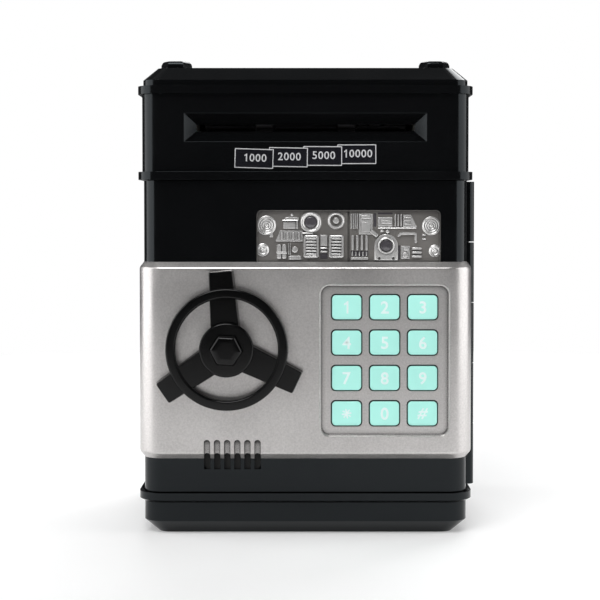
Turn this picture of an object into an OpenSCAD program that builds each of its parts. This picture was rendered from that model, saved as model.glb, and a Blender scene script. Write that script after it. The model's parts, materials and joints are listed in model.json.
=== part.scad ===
// Toy cash-machine money bank: a three-tier black case with a hinged safe door,
// a handwheel latch, a twelve-key pad and a motor-driven banknote feeder.
// Frame: +Z up, the door faces -Y, the hinge is on +X, z = 0 is the underside.

/* [Case] */
// Width of the case over its side walls
body_w = 130.6; // [129:0.2:132]
// Depth of the case from the door face to the back wall
body_d = 109; // [108:0.5:112]
// Corner radius of the case in plan
corner_r = 8; // [7:0.5:9]
// Thickness of the moulded walls
wall = 2; // [1.8:0.1:2.2]
// How far each seam bead stands out from the case
bead_out = 2; // [1.5:0.1:2.2]
// Height of the bottom tray
base_h = 17; // [17:0.5:18]
// Height of the door
door_h = 125; // [124:0.5:126]
// Height of the note housing above the door
upper_h = 34.3; // [34:0.1:36]
// Height of the top cap
cap_h = 10.7; // [10:0.1:12]
// Run of the chamfer round the cap and the tray
chamfer = 5.6; // [5:0.1:6]

/* [Door] */
// Thickness of the door from face to rear
door_t = 14; // [13.8:0.1:14.2]
// How far the silver panel stands proud of the door face
panel_out = 2.4; // [2.2:0.1:2.6]
// Height of the silver panel
panel_h = 79; // [78:0.5:80]
// Radius of the hinge barrel
barrel_r = 3; // [2.8:0.1:3.1]
// Radius of the hinge pin
pin_r = 1; // [0.8:0.1:1.2]

/* [Handwheel] */
// Outer radius of the ring
ring_r = 24.5; // [23:0.5:26]
// Inner radius of the ring
ring_in_r = 20.3; // [19:0.5:21]
// Radius reached by the spoke tips
spoke_r = 31.3; // [30:0.5:33]
// Turn of the spokes at rest, anticlockwise from upright
spoke_turn = 4.5; // [0:0.5:10]
// Radius of the hub
hub_r = 10.9; // [10:0.1:12]

/* [Keypad] */
// Width of one key
key_w = 11.7; // [11:0.1:12]
// Height of one key
key_h = 9.7; // [9:0.1:10]
// Distance between key columns
key_pitch_x = 15.2; // [15:0.1:15.6]
// Distance between key rows
key_pitch_z = 14.2; // [14:0.1:14.4]
// Travel of a key
key_travel = 1.2; // [0.8:0.1:1.2]

/* [Note feeder] */
// Width of the note slot
slot_w = 87.6; // [86:0.2:88]
// Height of the note slot
slot_h = 2.7; // [2.5:0.1:3]
// Radius of the feed and pinch rollers
roller_r = 5.9; // [5.7:0.1:5.9]
// Distance of each roller from the middle
roller_x = 16.7; // [16:0.1:20]

/* [Hidden] */
$fn = 64;

eps = 0.01;
gap = 0.4;                          // running gap round the door
front_y = -body_d / 2;              // outer face of the door
door_rear_y = front_y + door_t;
mouth_y = door_rear_y + gap;        // front face of the safe housing
door_z0 = base_h + 0.3;
door_z1 = door_z0 + door_h;
house_z0 = base_h;
house_z1 = door_z1 + 0.2;
deck_z = door_z1 + gap;             // underside of the note housing
cap_z = deck_z + upper_h;
top_z = cap_z + cap_h;
bead_h = 3.2;
upper_w = body_w + 1.2;
upper_d = body_d + 0.8;
upper_front_y = -upper_d / 2;
inner_w = body_w - 2 * wall;
inner_d = body_d - 2 * wall;

// hinge
hinge_x = body_w / 2 + 0.7;
hinge_y = door_rear_y + 0.2;
knuckle_z0 = door_z0 + 1;
knuckle_len = (door_h - 1) / 5;
knuckle_gap = 0.4;

// wheel and latch
wheel_x = -31.2;
wheel_z = 75.3;
wheel_y = front_y - panel_out - 0.8;   // rear face of the hub
spindle_r = 3.5;
spindle_thin_r = 2.5;
latch_m = 0.8;                          // gear module of the latch
latch_teeth = 14;
latch_pitch_r = latch_m * latch_teeth / 2;
bolt_y0 = mouth_y + 2.9;
bolt_y1 = bolt_y0 + 3.5;
bolt_z0 = wheel_z + latch_pitch_r;      // pitch line of the rack
bolt_tip_x = -53.5;
bolt_end_x = -18;
bolt_travel = latch_pitch_r * 75 * PI / 180;
bolt_top_z = bolt_z0 + 7;
plunger_x = -44;
plunger_r = 1.4;
latch_x0 = -52.6;
latch_x1 = -8;
latch_z0 = 65.5;
latch_z1 = 110;
latch_y1 = bolt_y1 + 3.6;               // rear face of the latch cover

// front panel, window and keypad
panel_z0 = 30.8;
panel_z1 = panel_z0 + panel_h;
panel_y = front_y - panel_out;
panel_side = 1.8;
panel_rear_y = front_y + 10;
tray_x = 31.7;
tray_z = 70.4;
tray_w = 51;
tray_h = 60;
tray_depth = 1.6;
key_hole_clear = 0.5;
window_x = 17.3;
window_w = 74;
window_z0 = 108.4;
window_z1 = 130.6;
window_z = (window_z0 + window_z1) / 2;
window_h = window_z1 - window_z0;
lens_y = front_y + 0.9;             // front face of the lens
led_board_y = front_y + 8;
led_spots = [[2.1, 125.8], [32.4, 116.4]];
vent_x = -29.3;
vent_pitch = 4.05;
vent_w = 2.6;
speaker_z = 35.5;
board_y = front_y + 3.5 + key_travel;   // front of the keypad board
board_t = 1.6;                          // thickness of both circuit boards

// note feeder
slot_z = 163.5;
funnel_w = 96.6;
funnel_h = 10.8;
funnel_t = 5;
roller_gap = 0.2;
roller_y = upper_front_y + 12.4;
feed_z = slot_z - roller_r - roller_gap / 2;
pinch_z = slot_z + roller_r + roller_gap / 2;
gear_m = 0.6;
feed_teeth = 30;
idler_small = 12;
idler_big = 30;
motor_teeth = 10;
idler_y = roller_y + gear_m * (feed_teeth + idler_small) / 2;
motor_y = idler_y + gear_m * (idler_big + motor_teeth) / 2;
frame_x = 44;                           // inner face of the feeder's side plates
side_t = 2;
gear_x = frame_x + side_t + 1;

// coin path, batteries and fasteners
coin_y = 12;
coin_w = 33;
coin_t = 3.8;
battery_y = 6;
battery_r = 7.15;
battery_len = 50;
battery_pitch = 14.6;
cover_screw_x = 35.4;
base_posts = [[-51, -33.5], [51, -33.5], [-51, 41], [51, 41]];
cap_posts = [[-55.5, -44.5], [55.5, -44.5], [-55.5, 44.5], [55.5, 44.5]];
ring_posts = [[-57.5, 8], [57.5, 8], [-30, 48], [30, 48]];
stud_spots = [[-52.4, -41.4], [52.4, -41.4], [-52.4, 41.4], [52.4, 41.4]];
liner_posts = [[-50, 29.5], [2, 29.5], [52, 29.5], [-50, 135], [2, 135], [52, 135]];
cover_posts = [[-47.5, 70], [-12.5, 70], [-15.5, 105.5]];
board_posts = [for (sx = [-1, 1], sz = [-1, 1]) [tray_x + sx * 26.2, tray_z + sz * 26]];
lamp_posts = [for (sx = [-1, 1], sz = [-1, 1]) [window_x + sx * 27, window_z + sz * 7]];
stake_x = [window_x - 39.3, window_x + 39.3];

black = [0.06, 0.06, 0.065];
silver = [0.66, 0.66, 0.66];
steel = [0.75, 0.76, 0.78];
mint = [0.64, 0.95, 0.87];

// ---- shared shapes ----

module along_z(z0, z1) { translate([0, 0, z0]) linear_extrude(z1 - z0) children(); }
module along_y(y0, y1) { translate([0, y1, 0]) rotate([90, 0, 0]) linear_extrude(y1 - y0) children(); }
module along_x(x0, x1) { translate([x0, 0, 0]) rotate([90, 0, 90]) linear_extrude(x1 - x0) children(); }

module rrect(w, d, r) {
    square([w - 2 * r, d], center = true);
    square([w, d - 2 * r], center = true);
    for (sx = [-1, 1], sy = [-1, 1]) translate([sx * (w / 2 - r), sy * (d / 2 - r)]) circle(r);
}

module case_outline(grow) { rrect(body_w + 2 * grow, body_d + 2 * grow, corner_r + grow); }
module upper_outline(grow) { rrect(upper_w + 2 * grow, upper_d + 2 * grow, corner_r + grow); }

// a solid that tapers from one rounded outline at z0 to another at z1
module taper(z0, z1, size0, r0, size1, r1) {
    hull() {
        along_z(z0, z0 + eps) rrect(size0[0], size0[1], r0, $fn = 32);
        along_z(z1 - eps, z1) rrect(size1[0], size1[1], r1, $fn = 32);
    }
}

module ahead_of(y) { intersection() { children(); translate([-200, y - 400]) square([400, 400]); } }
module behind(y) { intersection() { children(); translate([-200, y]) square([400, 400]); } }

// screw along +Z, its head's top at z = 0 and its shank reaching down by len
module screw(head_r, head_h, shank_r, len) {
    color(steel) difference() {
        union() {
            translate([0, 0, -head_h]) cylinder(h = head_h, r = head_r);
            translate([0, 0, -len]) cylinder(h = len - head_h + eps, r = shank_r);
        }
        for (a = [0, 90]) rotate(a) translate([-head_r * 0.6, -0.3, -head_h * 0.6])
            cube([head_r * 1.2, 0.6, head_h]);
    }
}

function involute(a) = tan(a) * 180 / PI - a;
function flank(base_r, r, half, pa) =
    half + involute(pa) - (r > base_r ? involute(acos(base_r / r)) : 0);

// involute gear outline with one tooth centred on angle 0
module gear2d(m, teeth, play, pa = 25) {
    pitch_r = m * teeth / 2;
    base_r = pitch_r * cos(pa);
    tip_r = pitch_r + 0.85 * m;
    root_r = pitch_r - 1.1 * m;
    low_r = max(base_r, root_r + eps);
    half = 90 / teeth - play / pitch_r * 90 / PI;
    radii = [for (k = [0:4]) low_r + (tip_r - low_r) * k / 4];
    polygon([for (i = [0:teeth - 1]) let (c = 360 * i / teeth) each concat(
        [root_r * [cos(c - flank(base_r, low_r, half, pa)), sin(c - flank(base_r, low_r, half, pa))]],
        [for (k = [0:4]) radii[k] * [cos(c - flank(base_r, radii[k], half, pa)),
            sin(c - flank(base_r, radii[k], half, pa))]],
        [for (k = [4:-1:0]) radii[k] * [cos(c + flank(base_r, radii[k], half, pa)),
            sin(c + flank(base_r, radii[k], half, pa))]],
        [root_r * [cos(c + flank(base_r, low_r, half, pa)), sin(c + flank(base_r, low_r, half, pa))]])]);
}

// rack teeth pointing down from z = 0, one tooth centred on each multiple of the pitch
module rack2d(m, first, last, play, pa = 25) {
    half = PI * m / 4 - play / 2;
    tip = 0.85 * m;
    root = 1.15 * m;
    for (i = [first:last]) translate([i * PI * m, 0]) polygon([
        [-half - root * tan(pa), root], [-half + tip * tan(pa), -tip],
        [half - tip * tan(pa), -tip], [half + root * tan(pa), root]]);
}

// helix of wire along +X as a row of rings
module coil_spring(x0, x1, r, wire, turns) {
    for (i = [0:turns - 1]) translate([x0 + wire + (x1 - x0 - 2 * wire) * i / (turns - 1), 0, 0])
        rotate([0, 90, 0]) rotate_extrude() translate([r, 0]) circle(wire, $fn = 16);
    translate([x0 + wire, -wire / 2, r - wire / 2]) cube([x1 - x0 - 2 * wire, wire, wire]);
}

// ---- bottom tray and power ----

module base_tray() {
    low = 2 * chamfer;
    color(black) difference() {
        union() {
            taper(0, chamfer - 0.2, [body_w - low, body_d - low], corner_r - 3, [body_w, body_d], corner_r);
            along_z(chamfer - 0.2 - eps, base_h) case_outline(0);
            taper(base_h - 4.1, base_h - 2.9, [body_w, body_d], corner_r,
                [body_w + 2 * bead_out, body_d + 2 * bead_out], corner_r + bead_out);
            along_z(base_h - 2.9 - eps, base_h) case_outline(bead_out);
        }
        difference() {
            union() {
                taper(2.4, chamfer + 1.4, [inner_w - low, inner_d - low], 4,
                    [inner_w, inner_d], corner_r - wall);
                along_z(chamfer + 1.4 - eps, base_h + 1) case_outline(-wall);
            }
            for (p = base_posts) translate([p[0], p[1], 0]) cylinder(h = base_h, r = 4.4);
            translate([0, battery_y, 0]) along_z(0, base_h - 0.2) square([62, 48.4], center = true);
            translate([cover_screw_x, battery_y, 0]) cylinder(h = 12, r = 4.6);
        }
        for (p = base_posts) translate([p[0], p[1], -1]) {
            cylinder(h = 9, r = 3.2);
            cylinder(h = base_h + 2, r = 1.7);
        }
        translate([0, battery_y, 0]) along_z(2.2, base_h + 1) square([58.6, 45], center = true);
        battery_cover_shape(-1, 2.2, 0.3);
        translate([cover_screw_x, battery_y, 0]) cylinder(h = 10, r = 1.1);
    }
}

module battery_cover_shape(z0, z1, clear) {
    along_z(z0, z1) union() {
        translate([0, battery_y]) square([58 + 2 * clear, 44.4 + 2 * clear], center = true);
        translate([32, battery_y]) square([7, 9 + 2 * clear], center = true);
        translate([cover_screw_x, battery_y]) circle(4.5 + clear);
    }
}

module battery_cover() {
    color(black) difference() {
        battery_cover_shape(0.4, 2, 0);
        translate([cover_screw_x, battery_y, -1]) {
            cylinder(h = 4, r = 1.6);
            cylinder(h = 2, r = 3.1);
        }
        for (i = [0:4]) translate([-22 + 3 * i, battery_y - 9, 0]) cube([1.4, 18, 0.8]);
    }
}

module battery_cover_screw() {
    translate([cover_screw_x, battery_y, 0.1]) rotate([180, 0, 0]) screw(2.9, 0.9, 1.05, 8);
}

module batteries() {
    for (i = [-1:1]) translate([0, battery_y + i * battery_pitch, base_h - 0.3 - battery_r])
        rotate([0, i == 0 ? -90 : 90, 0]) {
            color([0.1, 0.28, 0.55]) translate([0, 0, -battery_len / 2])
                cylinder(h = battery_len - 1.2, r = battery_r);
            color(steel) translate([0, 0, battery_len / 2 - 1.2]) cylinder(h = 1.2, r = 2.7);
        }
}

module battery_contacts() {
    color(steel) for (sx = [-1, 1], i = [-1:1])
        translate([sx * 28.9, battery_y + i * battery_pitch, base_h - 0.3 - battery_r]) {
            cube([0.5, 11, 11], center = true);
            rotate([0, -90 * sx, 0]) difference() {
                cylinder(h = 3.6, r1 = 4.2, r2 = 3.4);
                translate([0, 0, -1]) cylinder(h = 6, r = 2.8);
            }
        }
}

module base_screws() {
    for (p = base_posts) translate([p[0], p[1], 5.6]) rotate([180, 0, 0]) screw(3, 2.2, 1.45, 19);
}

// ---- safe housing ----

module knuckles(odd, r) {
    for (i = [0:4]) if ((i % 2 == 0) == odd)
        translate([hinge_x, hinge_y, knuckle_z0 + i * knuckle_len + knuckle_gap / 2])
            cylinder(h = knuckle_len - knuckle_gap, r = r);
}

module knuckle_room(odd) {
    for (i = [0:4]) if ((i % 2 == 0) == odd)
        translate([hinge_x, hinge_y, knuckle_z0 + i * knuckle_len - 0.1])
            cylinder(h = knuckle_len + 0.2, r = barrel_r + 0.35);
}

module pin_bore() { translate([hinge_x, hinge_y, 0]) cylinder(h = 200, r = pin_r + 0.05); }

module main_housing() {
    color(black) difference() {
        union() {
            difference() {
                union() {
                    along_z(house_z0, house_z1) behind(mouth_y) case_outline(0);
                    difference() {
                        taper(house_z0, house_z0 + 3, [body_w + 2 * bead_out, body_d + 2 * bead_out],
                            corner_r + bead_out, [body_w, body_d], corner_r);
                        translate([-100, -100, 0]) cube([200, 100 + mouth_y, 40]);
                        translate([58, -60, 0]) cube([20, 26, 40]);
                    }
                }
                along_z(house_z0 + wall, house_z1 - wall) behind(mouth_y + 2.5) case_outline(-wall);
                translate([-55, mouth_y - 1, 26]) cube([111.5, 5, 112]);
                along_z(house_z1 - 3, house_z1 + 1) translate([0, 3.4]) rrect(104, 80.6, 3);
            }
            for (p = base_posts) translate([p[0], p[1], house_z0 + 1]) cylinder(h = 9, r = 3.6);
            knuckles(true, barrel_r);
        }
        knuckle_room(false);
        pin_bore();
        for (p = base_posts) translate([p[0], p[1], house_z0 - 1]) cylinder(h = 9.5, r = 1.5);
        for (p = ring_posts) translate([p[0], p[1], house_z1 - 3]) cylinder(h = 4, r = 1.6);
    }
}

module hinge_pin() {
    color(steel) translate([hinge_x, hinge_y, knuckle_z0 + 0.5])
        cylinder(h = 5 * knuckle_len - 1, r = pin_r);
}

// ---- note housing and cap ----

module note_funnel() {
    hull() {
        along_y(upper_front_y - 0.2, upper_front_y) square([funnel_w + 0.4, funnel_h + 0.6], center = true);
        along_y(upper_front_y + funnel_t, upper_front_y + funnel_t + eps)
            square([slot_w, slot_h], center = true);
    }
    along_y(upper_front_y + funnel_t - eps, upper_front_y + 12) square([slot_w, slot_h], center = true);
}

module upper_housing() {
    color(black) difference() {
        union() {
            difference() {
                union() {
                    along_z(deck_z, cap_z) upper_outline(0);
                    along_z(deck_z, deck_z + bead_h) upper_outline(bead_out - 0.4);
                }
                along_z(deck_z + wall, cap_z + 1) upper_outline(-wall);
            }
            translate([-52, upper_front_y + 1, slot_z - 7]) cube([104, funnel_t - 0.4, 14]);
            for (p = cap_posts) translate([p[0], p[1], deck_z + 1]) cylinder(h = upper_h - 1, r = 4.4);
            for (p = ring_posts) translate([p[0], p[1], deck_z + 1]) cylinder(h = 9, r = 3.2);
        }
        translate([0, 0, slot_z]) note_funnel();
        translate([gear_x - 0.5, roller_y, feed_z]) rotate([0, 90, 0]) cylinder(h = 4.4, r = 10);
        translate([-42, roller_y + 5, deck_z - 1]) cube([84, 11, 5]);
        translate([-19, coin_y - 4.6, deck_z - 1]) cube([38, 9.2, 5]);
        for (p = cap_posts) translate([p[0], p[1], deck_z - 1]) {
            cylinder(h = 7, r = 3.3);
            cylinder(h = upper_h + 2, r = 1.7);
        }
        for (p = ring_posts) translate([p[0], p[1], deck_z - 1]) cylinder(h = 9, r = 1.3);
    }
}

module housing_screws() {
    for (p = ring_posts) translate([p[0], p[1], house_z1 - wall - 2]) rotate([180, 0, 0])
        screw(2.8, 2, 1.25, 11);
}

module top_cap() {
    wall_z = top_z - chamfer + 0.5;
    low = 2 * chamfer;
    color(black) difference() {
        union() {
            along_z(cap_z, cap_z + bead_h) upper_outline(bead_out - 0.4);
            along_z(cap_z, wall_z) upper_outline(-0.5);
            taper(wall_z - eps, top_z, [upper_w - 1, upper_d - 1], corner_r - 0.5,
                [upper_w - 1 - low, upper_d - 1 - low], corner_r - 3);
        }
        difference() {
            union() {
                along_z(cap_z - 1, wall_z - 1.5) upper_outline(-2.5);
                taper(wall_z - 1.5 - eps, top_z - 2, [upper_w - 5, upper_d - 5], corner_r - 2.5,
                    [upper_w - 4 - low, upper_d - 4 - low], 3.5);
            }
            for (p = cap_posts) translate([p[0], p[1], cap_z]) cylinder(h = cap_h, r = 4);
            translate([0, coin_y, cap_z]) along_z(5, cap_h) rrect(coin_w + 6, coin_t + 6, 2);
        }
        for (p = cap_posts) translate([p[0], p[1], cap_z - 1]) cylinder(h = 7, r = 1.3);
        translate([0, coin_y, 0]) along_z(cap_z - 1, top_z + 1) rrect(coin_w, coin_t, 1.6);
        translate([0, coin_y, 0]) along_z(top_z - 0.9, top_z + 1) rrect(coin_w + 9, coin_t + 9, 3);
    }
}

module cap_screws() {
    for (p = cap_posts) translate([p[0], p[1], deck_z + 3.8]) rotate([180, 0, 0])
        screw(3, 2.2, 1.25, 34);
}

module corner_studs() {
    color(black) for (p = stud_spots) translate([p[0], p[1], top_z]) intersection() {
        cylinder(h = 3.1, r = 6.25, $fn = 6);
        cylinder(h = 3.1, r1 = 8.4, r2 = 5.5);
    }
}

module coin_chute() {
    color([0.12, 0.12, 0.13]) difference() {
        translate([0, coin_y, 0]) union() {
            along_z(deck_z + wall, cap_z + 4.9) rrect(coin_w + 5, 9, 2);
            along_z(deck_z + wall, deck_z + wall + 2) rrect(coin_w + 11, 15, 2);
        }
        translate([0, coin_y, 0]) along_z(deck_z, cap_z + 6) rrect(coin_w + 2, 6, 1.4);
    }
}

module denomination_label() {
    color([0.1, 0.1, 0.12]) for (i = [0:3]) translate([-20.5 + 13.65 * i, 0, 151.1 + 0.57 * i])
        along_y(upper_front_y - 0.1 - 0.04 * (4 - i), upper_front_y) square([15.5, 7.8], center = true);
}

// ---- note feeder ----

module feeder_side(x0, motor_side) {
    along_x(x0, x0 + side_t) difference() {
        union() {
            translate([roller_y - 5.4, deck_z + wall]) square([15, cap_z - deck_z - wall - 1.5]);
            translate([roller_y + 5, deck_z + wall]) square([motor_side ? 32 : 12, 22]);
        }
        translate([roller_y, feed_z]) circle(1.55);
        translate([roller_y, pinch_z]) circle(1.55);
        if (motor_side) translate([motor_y, feed_z]) circle(3.2);
    }
}

module feeder_frame() {
    color([0.85, 0.85, 0.82]) union() {
        feeder_side(-frame_x - side_t, false);
        feeder_side(frame_x, true);
        // lower plate that carries the note between the rollers
        difference() {
            translate([-frame_x - 1, roller_y - 6.6, slot_z - 2.9]) cube([2 * frame_x + 2, 13.4, 1.3]);
            for (sx = [-1, 1]) translate([sx * roller_x - 4.2, roller_y - 5.6, slot_z - 4])
                cube([8.4, 11.2, 4]);
        }
        // motor cradle and idler stub
        difference() {
            translate([frame_x - 29, motor_y - 7.7, deck_z + wall]) cube([30, 15.4, 3]);
            translate([0, motor_y, feed_z]) rotate([0, 90, 0]) cylinder(h = frame_x, r = 10.05);
        }
        translate([frame_x + 1, idler_y, feed_z]) rotate([0, 90, 0]) cylinder(h = 8.6, r = 1);
    }
}

module bill_guide() {
    bend_r = 12;
    color([0.2, 0.2, 0.21]) difference() {
        along_x(-41, 41) union() {
            difference() {
                translate([roller_y + 3.2, slot_z - bend_r + 1.6]) circle(bend_r);
                translate([roller_y + 3.2, slot_z - bend_r + 1.6]) circle(bend_r - 1.2);
                translate([roller_y - 40, slot_z - 60]) square([43.2, 80]);
                translate([roller_y - 40, slot_z - 80]) square([80, 81.6 - bend_r]);
            }
            translate([roller_y + 2 + bend_r, deck_z + wall]) {
                square([1.2, slot_z - deck_z - wall - bend_r + 1.65]);
                square([2.4, 1.2]);
            }
        }
        for (sx = [-1, 1]) translate([sx * roller_x - 4.2, roller_y, slot_z - 4]) cube([8.4, 6.6, 8]);
    }
}

module bill_sensor() {
    color([0.05, 0.35, 0.16]) translate([-8, upper_front_y + 5.6, slot_z + 2.6]) cube([16, 1.2, 9]);
    color([0.1, 0.1, 0.1]) translate([-3, upper_front_y + 6.8, slot_z + 2.2]) cube([6, 3, 5]);
}

module feed_motor() {
    color(steel) translate([frame_x - 27, motor_y, feed_z]) intersection() {
        rotate([0, 90, 0]) cylinder(h = 25, r = 10);
        translate([0, -7.5, -12]) cube([25, 15, 24]);
    }
    color(steel) translate([frame_x - 2, motor_y, feed_z]) rotate([0, 90, 0]) cylinder(h = 1.9, r = 3.1);
}

module axle(x0, x1, z, r) {
    color(steel) translate([x0, roller_y, z]) rotate([0, 90, 0]) cylinder(h = x1 - x0, r = r);
}

module roller_pair(z) {
    for (sx = [-1, 1]) translate([sx * roller_x - 3.5, roller_y, z]) rotate([0, 90, 0]) difference() {
        cylinder(h = 7, r = roller_r);
        translate([0, 0, -1]) cylinder(h = 9, r = 1.5);
    }
}

module feed_shaft() { axle(-frame_x - 3.5, gear_x + 3.6, feed_z, 1.5); }
module feed_rollers() { color([0.09, 0.09, 0.1]) roller_pair(feed_z); }
module pinch_shaft() { axle(-frame_x - 3, frame_x + 3, pinch_z, 1.5); }
module pinch_rollers() { color([0.09, 0.09, 0.1]) roller_pair(pinch_z); }

module feed_gear() {
    color("white") translate([0, roller_y, feed_z]) along_x(gear_x, gear_x + 3) difference() {
        gear2d(gear_m, feed_teeth, 0.12);
        circle(1.5);
    }
}

module idler_gear() {
    color("white") translate([0, idler_y, feed_z]) {
        along_x(gear_x - 0.2, gear_x + 3.4) difference() {
            rotate(180 / idler_small) gear2d(gear_m, idler_small, 0.12);
            circle(1.05);
        }
        along_x(gear_x + 3.4, gear_x + 6) difference() {
            gear2d(gear_m, idler_big, 0.12);
            circle(1.05);
        }
    }
}

module motor_pinion() {
    color("white") translate([0, motor_y, feed_z]) along_x(gear_x + 3.2, gear_x + 6.2) difference() {
        rotate(180 / motor_teeth) gear2d(gear_m, motor_teeth, 0.12);
        circle(1);
    }
    color(steel) translate([frame_x + 0.1, motor_y, feed_z]) rotate([0, 90, 0]) cylinder(h = 9.2, r = 1);
}

// ---- door ----

module vent_slots(z0, z1) {
    for (i = [0:5]) translate([vent_x + vent_pitch * (i - 2.5), 0]) {
        translate([-vent_w / 2, z0]) square([vent_w, z1 - z0 - vent_w / 2]);
        translate([0, z1 - vent_w / 2]) circle(vent_w / 2, $fn = 24);
    }
}

module door_shell() {
    color(black) difference() {
        union() {
            difference() {
                along_z(door_z0, door_z1) ahead_of(door_rear_y) case_outline(0);
                along_z(door_z0 + wall, door_z1 - wall) ahead_of(door_rear_y + 1) case_outline(-wall);
            }
            for (p = liner_posts) translate([p[0], 0, p[1]])
                along_y(front_y + 1, door_rear_y - 1.6) circle(2.8);
            for (p = board_posts) translate([p[0], 0, p[1]]) along_y(front_y + 1, board_y) circle(2.2);
            for (x = stake_x) translate([x, 0, window_z]) along_y(front_y + 1, front_y + 5) circle(1);
            translate([wheel_x, 0, wheel_z]) along_y(front_y + 1, front_y + 10) circle(6.5);
            translate([vent_x, 0, speaker_z]) along_y(front_y + 1, front_y + 6) difference() {
                circle(15.6);
                circle(14.3);
            }
            knuckles(false, barrel_r);
        }
        knuckle_room(true);
        pin_bore();
        translate([wheel_x, 0, wheel_z]) along_y(front_y - 1, front_y + 11) circle(spindle_r + 0.05);
        translate([window_x, 0, window_z]) along_y(front_y - 1, front_y + 4) rrect(window_w, window_h, 2);
        translate([tray_x, 0, tray_z]) along_y(front_y - 1, front_y + 4) rrect(tray_w - 3, tray_h - 3, 3);
        along_y(front_y - 1, front_y + 3) vent_slots(26.4, 35);
        for (p = liner_posts) translate([p[0], 0, p[1]]) along_y(front_y + 4, door_rear_y) circle(1.15);
        for (p = board_posts) translate([p[0], 0, p[1]]) along_y(front_y + 1.6, board_y + 1) circle(0.95);
    }
}

module panel_solid() {
    top = panel_z1 - panel_out;
    low = panel_z0 + panel_out;
    hull() {
        for (z = [low, top]) along_z(z, z + eps)
            rrect(body_w + 2 * panel_side, body_d + 2 * panel_out, corner_r + panel_side, $fn = 40);
        for (z = [panel_z0, panel_z1 - eps]) along_z(z, z + eps)
            rrect(body_w + 0.02, body_d + 0.02, corner_r, $fn = 40);
    }
}

module key_grid() {
    for (c = [-1:1], r = [0:3])
        translate([tray_x + c * key_pitch_x, tray_z + (1.5 - r) * key_pitch_z]) children();
}

module front_panel() {
    color(silver) difference() {
        panel_solid();
        translate([-100, panel_rear_y, 0]) cube([200, 200, 200]);
        along_z(0, 200) case_outline(0);
        translate([tray_x, 0, tray_z]) along_y(panel_y - 1, panel_y + tray_depth)
            rrect(tray_w, tray_h, 3.5);
        along_y(panel_y - 1, front_y + 2) key_grid()
            rrect(key_w + 2 * key_hole_clear, key_h + 2 * key_hole_clear, 1.9);
        translate([wheel_x, 0, wheel_z]) along_y(panel_y - 1, front_y + 2) circle(spindle_r + 0.6);
        along_y(panel_y - 1, panel_y + 1.1) vent_slots(20, 38.6);
        along_y(panel_y - 1, front_y + 1) vent_slots(20, 34.8);
    }
}

// flat outline of a part of the window's moulded relief, standing out from the lens by out
module relief(x, z, out) {
    translate([window_x + x, 0, window_z + z]) along_y(lens_y - out, lens_y + eps) children();
}

module ring2d(r, w) { difference() { circle(r); circle(r - w); } }

module window_lens() {
    color([0.8, 0.8, 0.82, 0.6]) difference() {
        union() {
            translate([window_x, 0, window_z]) {
                along_y(lens_y, front_y + 2.1) rrect(window_w - 0.1, window_h - 0.1, 2);
                along_y(front_y + 2, front_y + 2.9) rrect(window_w + 9, window_h + 2.4, 2);
            }
            // stepped discs in the corners
            for (d = [[-32.8, 5.2, 3.8], [33.1, 5.1, 3.7], [-34.1, -4.7, 2.5], [34.4, -4.9, 2.4]])
                for (k = [0:2]) relief(d[0], d[1], 0.4 + 0.2 * k) circle(d[2] * (1 - 0.28 * k));
            // lamp rings
            for (d = [[-15.2, 6.3, 4.1], [-5.1, 6.8, 3.2], [15.1, -3.1, 3.6]])
                relief(d[0], d[1], 1) ring2d(d[2], 1.2);
            // louvre blocks, columns and boxes
            for (x = [-14.8, -4.9], i = [0:5])
                relief(x, -7.1 + 1.5 * i, 0.8) square([6.2, 0.9], center = true);
            for (i = [0:3]) relief(5.2 + 1.9 * i, -2.3, 0.8) square([1.2, 5.4], center = true);
            relief(9.2, 6.2, 0.8) square([8, 6.4], center = true);
            relief(22.5, 6.2, 0.8) square([15, 5], center = true);
            relief(-23, 1.2, 0.7) square([9, 4], center = true);
            relief(-25.6, -5.4, 0.9) square([4, 5.6], center = true);
            relief(26.8, -5.5, 0.7) square([4, 4.4], center = true);
        }
        for (x = stake_x) translate([x, 0, window_z]) along_y(front_y, front_y + 4) circle(1.1);
    }
}

module window_backing() {
    color([0.7, 0.7, 0.72]) difference() {
        translate([window_x, 0, window_z]) {
            along_y(front_y + 3, front_y + 4) rrect(window_w + 9, window_h - 1, 2);
            for (p = lamp_posts) translate([p[0] - window_x, 0, p[1] - window_z])
                along_y(front_y + 4 - eps, led_board_y) circle(1.8);
        }
        for (p = lamp_posts) translate([p[0], 0, p[1]]) along_y(front_y + 5, led_board_y + 1) circle(0.95);
        for (p = led_spots) translate([p[0], 0, p[1]]) along_y(front_y, front_y + 6) circle(2.7);
        for (x = stake_x) translate([x, 0, window_z]) along_y(front_y, front_y + 6) circle(1.1);
    }
}

module led_board() {
    color([0.06, 0.34, 0.17]) difference() {
        translate([window_x, 0, window_z]) along_y(led_board_y, led_board_y + board_t)
            square([60, 18], center = true);
        for (p = lamp_posts) translate([p[0], 0, p[1]])
            along_y(led_board_y - 1, led_board_y + 3) circle(1.2);
    }
    color([0.7, 0.66, 0.7]) for (p = led_spots) translate([p[0], 0, p[1]])
        along_y(front_y + 3.2, led_board_y + eps) circle(2.5);
}

module key_membrane() {
    color([0.9, 0.9, 0.88]) {
        translate([tray_x, 0, tray_z]) along_y(board_y - 1.2, board_y - eps) difference() {
            square([48, 58], center = true);
            translate([-tray_x, -tray_z]) key_grid() square([5.4, 5.4], center = true);
        }
        along_y(board_y - 2, board_y - eps) key_grid() difference() {
            circle(4.4);
            circle(3.4);
        }
    }
}

module keypad_board() {
    color([0.06, 0.34, 0.17]) difference() {
        translate([tray_x, 0, tray_z]) along_y(board_y, board_y + board_t)
            square([56, 60], center = true);
        for (p = board_posts) translate([p[0], 0, p[1]]) along_y(board_y - 1, board_y + 3) circle(1.2);
    }
    color([0.05, 0.05, 0.05]) translate([tray_x, 0, tray_z])
        along_y(board_y + board_t - eps, board_y + 3) circle(6);
}

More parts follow.
